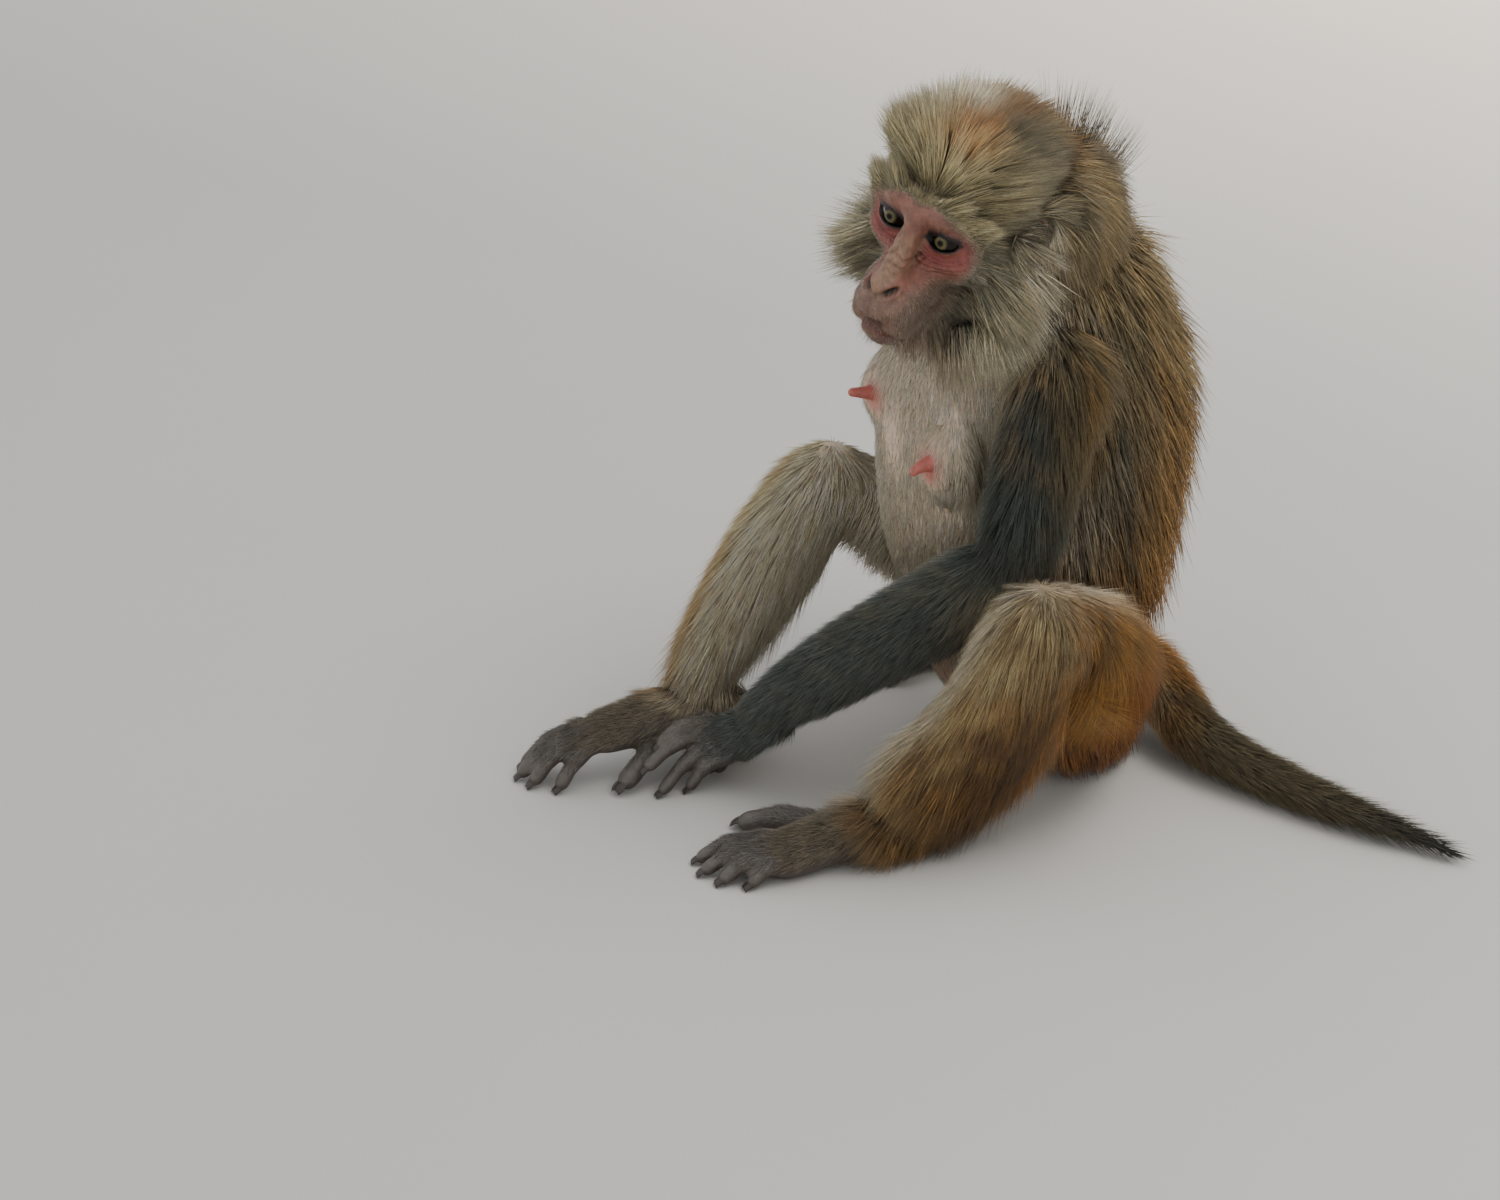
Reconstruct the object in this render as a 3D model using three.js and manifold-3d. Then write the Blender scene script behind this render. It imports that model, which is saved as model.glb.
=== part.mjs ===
// Seated adult female rhesus macaque, life size, as a still model.
// Millimetres. +Z is up, +X is the animal's left and it faces -Y. The origin is on the floor under the pelvis.
// Each part of the body is one closed solid whose surface is the outside of the coat. Neighbours keep GAP apart.
import * as THREE from 'three';
import { mergeVertices } from 'three/addons/utils/BufferGeometryUtils.js';
import Module from 'manifold-3d';

const wasm = await Module();
wasm.setup();

// ---- Driving dimensions ----
const GAP = 0.3;
const FAR = 2000;
const FLOOR = 0;
const RUMP_TOP = 92;
const ABDOMEN_TOP = 196;
const TORSO_SIDE = [1, -0.06, -0.14];
const SKIN_STEP = 0.02;

// Trunk, from the seat up the hunched back: x, y, z of the middle, half width, half depth.
const TRUNK = [
  [0, -12, -16, 26, 26],
  [0, -14, 12, 58, 50],
  [0, -26, 45, 72, 58],
  [0, -44, 95, 79, 70],
  [0, -45, 150, 79, 92],
  [0, -44, 205, 75, 102],
  [0, -48, 258, 66, 98],
  [2, -50, 298, 54, 80],
  [4, -58, 334, 40, 52],
];
const NECK = [
  [3, -54, 292, 48, 56],
  [3, -58, 320, 46, 56],
  [3, -64, 348, 44, 52],
  [0, -76, 374, 34, 38],
];
const BREAST_RADII = [26, 13, 27];
const BREASTS = { left: [30, -130, 222], right: [-26, -129, 243] };
const TEAT_LENGTH = 12;
const TEAT_RADIUS = 3.2;

// Arms: shoulder to elbow, elbow to wrist.
const UPPER_ARMS = {
  left: [
    [40, -62, 292, 20, 24],
    [52, -73, 266, 32, 36],
    [65, -90, 234, 29, 32],
    [75, -107, 196, 26, 29],
    [79, -118, 158, 21, 23],
  ],
  right: [
    [-40, -56, 300, 20, 24],
    [-56, -58, 276, 33, 37],
    [-78, -40, 246, 29, 31],
    [-95, -12, 206, 26, 28],
    [-104, 6, 170, 21, 22],
  ],
};
const FOREARMS = {
  left: [
    [84, -114, 182, 17, 17],
    [68, -123, 162, 26, 26],
    [34, -147, 128, 26, 27],
    [-8, -178, 85, 22, 25],
    [-36, -198, 55, 18, 19],
    [-47, -207, 41, 13, 13],
  ],
  right: [
    [-103, 14, 190, 17, 17],
    [-105, 10, 168, 23, 23],
    [-110, 10, 118, 21, 20],
    [-112, 12, 66, 16, 16],
    [-113, 10, 40, 14, 12],
    [-114, 4, 28, 11, 9],
  ],
};

// Hands: palm, then each digit from its knuckle to its tip.
const PALMS = {
  left: [
    [-34, -196, 44, 9, 8],
    [-43, -202, 39, 13, 10],
    [-53, -209, 33, 15, 10],
    [-60, -216, 29, 13, 8],
  ],
  right: [
    [-113, 10, 38, 9, 8],
    [-115, 0, 25, 15, 10],
    [-119, -16, 10, 19, 10],
    [-123, -32, 5, 17, 8],
  ],
};
const FINGERS = {
  left: [
    [[-71, -220, 36], [-72, -250, 28]],
    [[-67, -222, 31], [-68, -261, 18]],
    [[-61, -219, 26], [-64, -253, 2]],
    [[-52, -215, 21], [-60, -237, 2]],
    [[-52, -203, 20], [-68, -212, 3]],
  ],
  right: [
    [[-110, -30, 11], [-106, -62, 1.5]],
    [[-118, -34, 12], [-119, -74, 1.5]],
    [[-127, -34, 11], [-134, -72, 1.5]],
    [[-134, -28, 9], [-148, -56, 1.5]],
    [[-104, -6, 13], [-86, -24, 1.5]],
  ],
};
const FINGER_RADII = [5.6, 5.6, 5.6, 5.3, 5.6];
const PALM_SIDES = { left: [0.85, 0.15, -0.5], right: [1, -0.2, 0] };

// Legs: hip to knee, knee to ankle.
const THIGHS = {
  left: [
    [30, -10, 62, 28, 26],
    [42, -26, 74, 39, 37],
    [65, -50, 98, 41, 38],
    [89, -84, 128, 37, 35],
    [105, -114, 152, 31, 31],
  ],
  right: [
    [-30, -10, 62, 28, 26],
    [-42, -26, 74, 39, 37],
    [-67, -48, 100, 41, 38],
    [-91, -82, 130, 36, 34],
    [-107, -108, 152, 30, 30],
  ],
};
const SHANKS = {
  left: [
    [109, -108, 170, 20, 24],
    [105, -118, 146, 31, 35],
    [96, -124, 110, 30, 42],
    [80, -134, 72, 28, 46],
    [67, -153, 42, 26, 42],
    [58, -169, 22, 19, 27],
  ],
  right: [
    [-110, -100, 170, 20, 22],
    [-108, -112, 148, 30, 33],
    [-106, -146, 114, 28, 36],
    [-104, -178, 80, 25, 31],
    [-101, -200, 52, 19, 24],
    [-99, -210, 34, 14, 16],
  ],
};
const FEET = {
  left: [
    [65, -141, 10, 8, 10],
    [62, -156, 14, 11, 14],
    [56, -180, 17.5, 13, 17],
    [48, -208, 15, 16, 15],
    [42, -238, 10, 18, 12],
    [36, -252, 7, 15, 9],
  ],
  right: [
    [-98, -166, 9, 11, 12],
    [-98, -182, 16, 16, 19],
    [-98, -210, 28, 18, 19],
    [-98, -240, 31, 18, 14],
    [-102, -264, 29, 18, 11],
    [-107, -278, 24, 14, 9],
  ],
};
const TOES = {
  left: [
    [[28, -246, 14], [10, -276, 2]],
    [[36, -250, 14], [23, -281, 2]],
    [[45, -248, 13], [37, -278, 2]],
    [[52, -241, 11], [49, -267, 2]],
    [[34, -206, 14], [-11, -234, 3]],
  ],
  right: [
    [[-98, -274, 26], [-99, -300, 2]],
    [[-106, -280, 27], [-112, -310, 2]],
    [[-114, -281, 26], [-124, -311, 2]],
    [[-120, -275, 24], [-134, -303, 2]],
    [[-86, -222, 25], [-79, -270, 4]],
  ],
};
const TOE_RADII = [6.1, 6.1, 6.1, 5.9, 8.2];
const ARCH = 5;

// Tail, laid on the floor in a sweep to the animal's left: x, y, z, half width, half height.
const TAIL = [
  [-4, 27, 46, 22, 22],
  [10, 41, 34, 21, 21],
  [32, 40, 26, 21, 21],
  [62, 35, 20, 19, 19],
  [94, 37, 16, 17, 17],
  [132, 47, 13, 15, 15],
  [174, 60, 11, 13, 12],
  [210, 76, 8, 10, 9],
  [236, 87, 5.5, 7, 6],
  [252, 94, 3, 3, 3],
];
const TAIL_CUTS = [84, 158];

// Head, in its own axes: x to its left, y to its back, z up, turned and tilted on the neck.
const HEAD_AT = [4.9, -111.6, 356.5];
const HEAD_YAW = 20;
const HEAD_ROLL = 12.7;
const HEAD_PITCH = -3.7;
const HEAD_SIZE = 1.02;
const EYE = [16.2, -27, 1];
const EYE_RADIUS = 9.5;
const EAR = [50, 20, -10];
const COAT_CROWN = 12;
const COAT_CHEEK = 15;
const COAT_TEMPLE = 5;
const COAT_NAPE = 10;

// Locks: how deep their roots sink, half thickness at the root, and how far they bow out.
const ROOT_SINK = 7;
const LOCK_THICK = 2;
const LOCK_BEND = 0.1;

// ---- Solids ----
const vec = (v) => new THREE.Vector3(v[0], v[1], v[2]);
const clamp = THREE.MathUtils.clamp;
const smooth = THREE.MathUtils.smoothstep;

// A closed three.js geometry as a solid.
function toSolid(geometry) {
  const bare = geometry.clone();
  bare.deleteAttribute('normal');
  bare.deleteAttribute('uv');
  const merged = mergeVertices(bare, 1e-4);
  return new wasm.Manifold(new wasm.Mesh({
    numProp: 3,
    vertProperties: new Float32Array(merged.attributes.position.array),
    triVerts: new Uint32Array(merged.index.array),
  }));
}

// The solid's largest closed surface as a three.js geometry.
function toGeometry(solid) {
  const pieces = solid.decompose();
  pieces.sort((a, b) => b.volume() - a.volume());
  const { vertProperties, triVerts } = pieces[0].getMesh();
  const geometry = new THREE.BufferGeometry();
  geometry.setAttribute('position', new THREE.BufferAttribute(new Float32Array(vertProperties), 3));
  geometry.setIndex(new THREE.BufferAttribute(new Uint32Array(triVerts), 1));
  geometry.computeVertexNormals();
  return geometry;
}

const join = (solids) => solids.reduce((sum, next) => sum.add(next));

// A limb: a sphere's rows carried along a smooth path, each an ellipse of the stated half width and depth.
// Both ends close in a round cap, and grow adds to every radius and to both ends.
function limb(stations, { sides = 11, rows = 10, side = [1, 0, 0], grow = 0, round = 3 } = {}) {
  const last = stations.length - 1;
  const path = new THREE.CatmullRomCurve3(stations.map(vec));
  const size = new THREE.CatmullRomCurve3(stations.map((s) => new THREE.Vector3(s[3], s[4], 0)));
  const geometry = new THREE.SphereGeometry(1, sides, rows);
  const position = geometry.attributes.position;
  const capOf = (end, next) => {
    const reach = vec(stations[end]).distanceTo(vec(stations[next]));
    return clamp(stations[end][3] / reach, 0.25, 1) / last;
  };
  const capLow = capOf(0, 1);
  const capHigh = capOf(last, last - 1);
  for (let row = 0; row <= rows; row += 1) {
    const low = Math.min(row / round, 1) * Math.PI / 2;
    const high = Math.min((rows - row) / round, 1) * Math.PI / 2;
    const middle = clamp((row - round) / (rows - 2 * round), 0, 1);
    const t = capLow * (1 - Math.cos(low)) + middle * (1 - capLow - capHigh) + capHigh * Math.cos(high);
    const swell = Math.sin(low) * Math.sin(high);
    const along = path.getTangent(clamp(t, 0.001, 0.999));
    const across = vec(side).addScaledVector(along, -vec(side).dot(along)).normalize();
    const deep = along.clone().cross(across);
    const middlePoint = path.getPoint(t).addScaledVector(along, grow * (Math.cos(high) - Math.cos(low)));
    const radii = size.getPoint(t);
    for (let column = 0; column <= sides; column += 1) {
      const angle = (column / sides) * 2 * Math.PI;
      const point = middlePoint.clone()
        .addScaledVector(across, -Math.cos(angle) * (radii.x + grow) * swell)
        .addScaledVector(deep, Math.sin(angle) * (radii.y + grow) * swell);
      position.setXYZ(row * (sides + 1) + column, point.x, point.y, point.z);
    }
  }
  return toSolid(geometry);
}

function ellipsoid(centre, radii, { sides = 14, rows = 8, turn = [0, 0, 0], grow = 0, head = false } = {}) {
  const geometry = new THREE.SphereGeometry(1, sides, rows);
  geometry.scale(radii[0] + grow, radii[1] + grow, radii[2] + grow);
  geometry.applyMatrix4(new THREE.Matrix4().makeRotationFromEuler(new THREE.Euler(...turn)));
  geometry.translate(...centre);
  if (head) geometry.applyMatrix4(headMatrix);
  return toSolid(geometry);
}

// A box between two heights, as wide as anything here.
function slab(low, high) {
  const geometry = new THREE.BoxGeometry(FAR, FAR, high - low);
  geometry.translate(0, 0, (low + high) / 2);
  return toSolid(geometry);
}

// ---- Head ----
const headMatrix = new THREE.Matrix4()
  .makeRotationZ(THREE.MathUtils.degToRad(HEAD_YAW))
  .multiply(new THREE.Matrix4().makeRotationX(THREE.MathUtils.degToRad(-HEAD_PITCH)))
  .multiply(new THREE.Matrix4().makeRotationY(THREE.MathUtils.degToRad(HEAD_ROLL)))
  .scale(new THREE.Vector3(HEAD_SIZE, HEAD_SIZE, HEAD_SIZE))
  .setPosition(...HEAD_AT);
const inHead = (v) => vec(v).applyMatrix4(headMatrix).toArray();

// Distances to simple forms, and their soft join.
function ovalDistance(x, y, z, centre, radii) {
  const u = (x - centre[0]) / radii[0];
  const v = (y - centre[1]) / radii[1];
  const w = (z - centre[2]) / radii[2];
  const near = Math.hypot(u, v, w);
  const slope = Math.hypot(u / radii[0], v / radii[1], w / radii[2]);
  return slope > 0 ? (near * (near - 1)) / slope : -Math.min(...radii);
}

function rodDistance(x, y, z, from, to, radius) {
  const d = [to[0] - from[0], to[1] - from[1], to[2] - from[2]];
  const p = [x - from[0], y - from[1], z - from[2]];
  const length = d[0] * d[0] + d[1] * d[1] + d[2] * d[2];
  const t = clamp((p[0] * d[0] + p[1] * d[1] + p[2] * d[2]) / length, 0, 1);
  return Math.hypot(p[0] - d[0] * t, p[1] - d[1] * t, p[2] - d[2] * t) - radius;
}

function softMin(a, b, blend) {
  const h = clamp(0.5 + (0.5 * (b - a)) / blend, 0, 1);
  return b + (a - b) * h - blend * h * (1 - h);
}

// Distance to the bare head: skull, brow, face, muzzle, lips, chin and jaw, with the eye sockets pressed in.
function bareHead(xSigned, y, z) {
  const x = Math.abs(xSigned);
  let d = ovalDistance(x, y, z, [0, 16, 12], [36, 45, 34]);
  d = softMin(d, ovalDistance(x, y, z, [0, -16, -6], [31, 22, 28]), 8);
  d = softMin(d, ovalDistance(x, y, z, [22, -15, -15], [15, 19, 14]), 8);
  d = softMin(d, rodDistance(x, y, z, [0, -35, 14], [25, -27, 12], 6.5), 6);
  d = softMin(d, rodDistance(x, y, z, [29, -23, 9], [28, -23, -10], 7), 6);
  d = softMin(d, ovalDistance(x, y, z, [0, -36, -32], [19, 28, 18]), 9);
  d = softMin(d, rodDistance(x, y, z, [0, -31, 6], [0, -54, -21], 7.5), 9);
  d = softMin(d, ovalDistance(x, y, z, [0, -59, -25], [8, 6.5, 5.5]), 3);
  d = softMin(d, ovalDistance(x, y, z, [0, -56, -38], [15, 13.5, 8.5]), 3);
  d = softMin(d, ovalDistance(x, y, z, [0, -45, -51], [13.5, 15.5, 9]), 3);
  d = softMin(d, rodDistance(x, y, z, [0, -44, -51], [22, 2, -38], 11), 6);
  d = softMin(d, ovalDistance(x, y, z, [0, 8, -42], [22, 32, 20]), 10);
  const socket = ovalDistance(x, y, z, [EYE[0] - 0.5, -38, 0.6], [10, 8, 7]);
  return -softMin(-d, socket, 3);
}

// Depth of the coat over the bare head: none on the face, deep on the crown and deepest on the cheeks.
function headCoat(x, y, z) {
  const front = smooth(-y, 4, 30);
  const forehead = smooth(z, 12, 60);
  const low = smooth(-z, -6, 22);
  const temple = smooth(Math.abs(x), 14, 34) * smooth(z, -6, 14);
  const nape = smooth(y, 16, 52) * (1 - smooth(z, 14, 44));
  const depth = COAT_CROWN + (COAT_CHEEK - COAT_CROWN) * low + COAT_TEMPLE * temple + COAT_NAPE * nape;
  return (1 - front * (1 - forehead)) * depth;
}

// The head's skin of coat: rays from the middle of the head, each run in from outside to the surface.
function headSolid(grow = 0) {
  const sides = 30;
  const rows = 22;
  const reach = 130;
  const middle = [0, -20, -16];
  const geometry = new THREE.SphereGeometry(1, sides, rows);
  geometry.rotateZ(Math.PI / 2);
  const position = geometry.attributes.position;
  for (let i = 0; i < position.count; i += 1) {
    const ray = new THREE.Vector3().fromBufferAttribute(position, i).normalize();
    let t = reach;
    for (let step = 0; step < 200; step += 1) {
      const [x, y, z] = [middle[0] + ray.x * t, middle[1] + ray.y * t, middle[2] + ray.z * t];
      const room = bareHead(x, y, z) - headCoat(x, y, z);
      if (room < SKIN_STEP) break;
      t -= room * 0.5;
    }
    ray.multiplyScalar(t + grow / HEAD_SIZE);
    position.setXYZ(i, ray.x + middle[0], ray.y + middle[1], ray.z + middle[2]);
  }
  geometry.applyMatrix4(headMatrix);
  return toSolid(geometry);
}

const eyeSolid = (sign) => (grow = 0) => ellipsoid(
  [sign * EYE[0], EYE[1], EYE[2]],
  [EYE_RADIUS, EYE_RADIUS, EYE_RADIUS],
  { grow, head: true },
);

// One lid: a thin curved roll that lies on the eyeball, from the inner to the outer corner.
function lid(sign, rise) {
  const half = 9.6;
  const radius = EYE_RADIUS + 0.9;
  const stations = [];
  for (let i = 0; i <= 6; i += 1) {
    const u = i / 3 - 1;
    const dz = rise * Math.sqrt(Math.max(0, 1 - u * u)) + 0.8 * u;
    const dy = Math.sqrt(Math.max(4, radius * radius - half * half * u * u * 0.86 - dz * dz));
    stations.push([...inHead([sign * (EYE[0] + half * u), EYE[1] - dy, EYE[2] + dz]), 1.7, 1.7]);
  }
  return limb(stations, { sides: 5, rows: 8, round: 1, side: [0, 0, 1] });
}

// The two lips as soft rolls round the front of the muzzle, with the mouth line between them.
function lip(height, thick) {
  const stations = [];
  for (let i = 0; i <= 8; i += 1) {
    const angle = (i / 8 - 0.5) * 2.3;
    const bow = Math.cos(angle * 1.35);
    const y = -44 - 23 * Math.cos(angle) + (height < -44 ? 3.5 : 0);
    stations.push([...inHead([17.5 * Math.sin(angle), y, height + 1.6 * bow]), thick, thick]);
  }
  return limb(stations, { sides: 5, rows: 9, round: 1, side: [0, 0, 1] });
}

const nostril = (sign) =>
  limb([
    [...inHead([sign * 7.6, -63, -22.5]), 1.6, 1.6],
    [...inHead([sign * 5.4, -63, -26.5]), 2.2, 2.2],
    [...inHead([sign * 3.2, -64, -29.5]), 1.6, 1.6],
  ], { sides: 6, rows: 6, round: 2, side: [0, 1, 0] });

// An ear: a flattened oval that stands off the side of the head, with its cup scooped out in front.
const earSolid = (sign) => (grow = 0) => {
  const turn = [0, 0, sign * 0.75];
  const shell = ellipsoid([sign * EAR[0], EAR[1], EAR[2]], [19, 4.5, 21], { turn, sides: 12, rows: 8, grow, head: true });
  if (grow > 0) return shell;
  const cup = [sign * (EAR[0] + 7), EAR[1] - 1, EAR[2] + 1];
  return shell.subtract(ellipsoid(cup, [10, 4.5, 13], { turn, sides: 10, rows: 6, head: true }));
};

// ---- Hands and feet ----
// A digit arches from its knuckle to the floor, and a flat nail lies on its tip.
function digit([base, tip], radius, arch, grow) {
  const from = vec(base);
  const to = vec(tip);
  const run = to.clone().sub(from);
  const stations = [-0.25, 0.1, 0.42, 0.74, 1].map((t) => {
    const point = from.clone().addScaledVector(run, t);
    point.z += arch * Math.sin(Math.PI * clamp(t, 0, 1));
    return [...point.toArray(), radius * (1.02 - 0.22 * t), radius * (1.05 - 0.27 * t)];
  });
  return limb(stations, { sides: 6, rows: 6, round: 2, side: [-run.y, run.x, 0], grow });
}

function nail([base, tip], radius, grow) {
  const run = vec(tip).sub(vec(base));
  const slope = Math.atan2(run.y, run.x);
  const at = vec(tip).addScaledVector(run.normalize(), -radius * 0.25);
  const turn = [0, 0.5, slope];
  return ellipsoid([at.x, at.y, at.z + radius * 0.62], [radius * 0.95, radius * 0.55, radius * 0.3],
    { sides: 4, rows: 3, turn, grow });
}

function paw(pad, digits, radii, side, grow) {
  const body = limb(pad, { sides: 10, rows: 8, side, grow });
  const reach = digits.map((d, i) => digit(d, radii[i], ARCH, grow));
  const nails = digits.map((d, i) => nail(d, radii[i], grow));
  return join([body, ...reach, ...nails]);
}

const handSolid = (name) => (grow = 0) => paw(PALMS[name], FINGERS[name], FINGER_RADII, PALM_SIDES[name], grow);
const footSolid = (name) => (grow = 0) => paw(FEET[name], TOES[name], TOE_RADII, [1, 0, 0], grow);

// ---- Trunk, tail and limbs ----
const trunkSolid = (low, high) => (grow = 0) => {
  const body = limb(TRUNK, { sides: 20, rows: 16, side: TORSO_SIDE, grow });
  const breasts = Object.values(BREASTS).map((at) => ellipsoid(at, BREAST_RADII, { grow, sides: 12, rows: 7 }));
  return join([body, ...breasts]).intersect(slab(low - grow, high + grow));
};

const limbSolid = (stations, options) => (grow = 0) => limb(stations, { ...options, grow });

const teatSolid = (name) => (grow = 0) => {
  const [x, y, z] = BREASTS[name];
  const out = name === 'left' ? 0.12 : -0.25;
  const front = y - BREAST_RADII[1];
  return limb([
    [x, front + 5, z, TEAT_RADIUS, TEAT_RADIUS],
    [x + out * 4, front - 1, z + 0.5, TEAT_RADIUS, TEAT_RADIUS],
    [x + out * 12, front - TEAT_LENGTH, z + 2, TEAT_RADIUS * 0.6, TEAT_RADIUS * 0.6],
  ], { sides: 8, rows: 7, round: 2, grow });
};

// One length of the tail, between two cuts square to the X axis.
const tailSolid = (from, to) => (grow = 0) => {
  const geometry = new THREE.BoxGeometry(to - from + 2 * grow, FAR, FAR);
  geometry.translate((from + to) / 2, 0, 0);
  return limb(TAIL, { sides: 9, rows: 20, side: [0, 1, 0], grow }).intersect(toSolid(geometry));
};

// ---- Locks of the longer coat ----
// One lock: flat, tapered and bent from its sunk root over its crown to its tip.
function lock(root, tip, out, width, grow) {
  const run = tip.clone().sub(root);
  const length = run.length();
  const sunk = root.clone().addScaledVector(run, -ROOT_SINK / length);
  const crown = root.clone().addScaledVector(run, 0.5).addScaledVector(out, length * LOCK_BEND);
  const across = run.clone().cross(out).normalize().toArray();
  const stations = [
    [...sunk.toArray(), width * 0.42, LOCK_THICK],
    [...crown.toArray(), width * 0.5, LOCK_THICK * 0.8],
    [...tip.toArray(), width * 0.1, LOCK_THICK * 0.25],
  ];
  return limb(stations, { sides: 4, rows: 4, round: 1, side: across, grow });
}

// A row of locks whose roots follow one curve and whose tips follow another, fanned away from a middle point.
function fan({ from, to, middle, count, width, seed }) {
  const roots = new THREE.CatmullRomCurve3(from.map(vec));
  const tips = new THREE.CatmullRomCurve3(to.map(vec));
  const made = [];
  for (let i = 0; i < count; i += 1) {
    const at = (i + 0.5) / count;
    const wander = THREE.MathUtils.seededRandom(seed + i * 7) - 0.5;
    const root = roots.getPoint(at);
    const tip = tips.getPoint(clamp(at + wander / count, 0, 1));
    tip.lerp(root, 0.12 * THREE.MathUtils.seededRandom(seed + i * 13));
    const out = root.clone().add(tip).multiplyScalar(0.5).sub(vec(middle)).normalize();
    made.push({ root, tip, out, width: width * (1 + 0.3 * wander) });
  }
  return made;
}

// The cheek ruff of one side, in two layers: one flares to the side, one sweeps back past the ear.
function ruff(sign) {
  const own = (points) => points.map(([x, y, z]) => inHead([sign * x, y, z]));
  const middle = inHead([0, 4, -30]);
  return [
    ...fan({
      from: own([[42, -8, -4], [42, -13, -16], [37, -16, -36], [27, -16, -54], [15, -20, -60]]),
      to: own([[56, -10, -10], [72, -20, -32], [67, -20, -56], [53, -14, -80], [36, -16, -93]]),
      middle, count: 6, width: 29, seed: 11,
    }),
    ...fan({
      from: own([[46, 10, -8], [44, 10, -24], [38, 8, -42], [28, 4, -58]]),
      to: own([[66, 30, -14], [73, 46, -40], [68, 43, -64], [69, 12, -75], [60, -24, -76]]),
      middle, count: 6, width: 30, seed: 29,
    }),
  ];
}

const LOCKS = {
  head: [...ruff(1), ...ruff(-1)],
  neck: fan({
    from: [[10, -44, 362], [8, -30, 358], [8, -16, 350], [8, -8, 338]],
    to: [[10, -50, 407], [8, -24, 406], [8, -2, 390], [8, 15, 360]],
    middle: [8, -60, 330], count: 6, width: 9, seed: 3,
  }),
  abdomen: fan({
    from: [[66, 2, 128], [44, 30, 126], [0, 42, 124], [-44, 30, 126], [-66, 2, 128]],
    to: [[70, 6, 88], [46, 34, 80], [0, 46, 76], [-46, 34, 80], [-70, 6, 88]],
    middle: [0, -40, 130], count: 7, width: 33, seed: 41,
  }),
  thigh_left: fan({
    from: [[74, -14, 70], [90, -34, 76], [106, -58, 90]],
    to: [[78, -12, 38], [94, -30, 38], [110, -54, 54]],
    middle: [30, -60, 160], count: 4, width: 32, seed: 61,
  }),
  thigh_right: fan({
    from: [[-74, -14, 70], [-90, -34, 76], [-106, -58, 90]],
    to: [[-78, -12, 38], [-94, -30, 38], [-110, -54, 54]],
    middle: [-30, -60, 160], count: 4, width: 32, seed: 67,
  }),
  shank_left: fan({
    from: [[104, -98, 84], [102, -104, 62], [94, -126, 46], [80, -148, 34]],
    to: [[100, -74, 64], [100, -84, 38], [98, -118, 22], [82, -146, 16]],
    middle: [20, -140, 90], count: 5, width: 29, seed: 71,
  }),
  shank_right: fan({
    from: [[-124, -148, 84], [-124, -156, 64], [-118, -186, 48], [-108, -204, 36]],
    to: [[-124, -120, 52], [-124, -132, 24], [-120, -180, 12], [-110, -206, 12]],
    middle: [-60, -190, 100], count: 5, width: 27, seed: 73,
  }),
};

// All locks of a part as one solid, grown by the gap where other parts are cut clear of them.
function locksOf(name, grow) {
  return join(LOCKS[name].map(({ root, tip, out, width }) => lock(root, tip, out, width, grow)));
}

// ---- Colours ----
const COLOURS = {
  fur_grey: 0x6f685c,
  fur_gold: 0x8a7350,
  fur_rufous: 0x8c5a34,
  fur_slate: 0x4a4c4c,
  fur_pale: 0xb4a894,
  skin_face: 0xa8685e,
  skin_dark: 0x5b5048,
  eye: 0x1d1a16,
};

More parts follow.
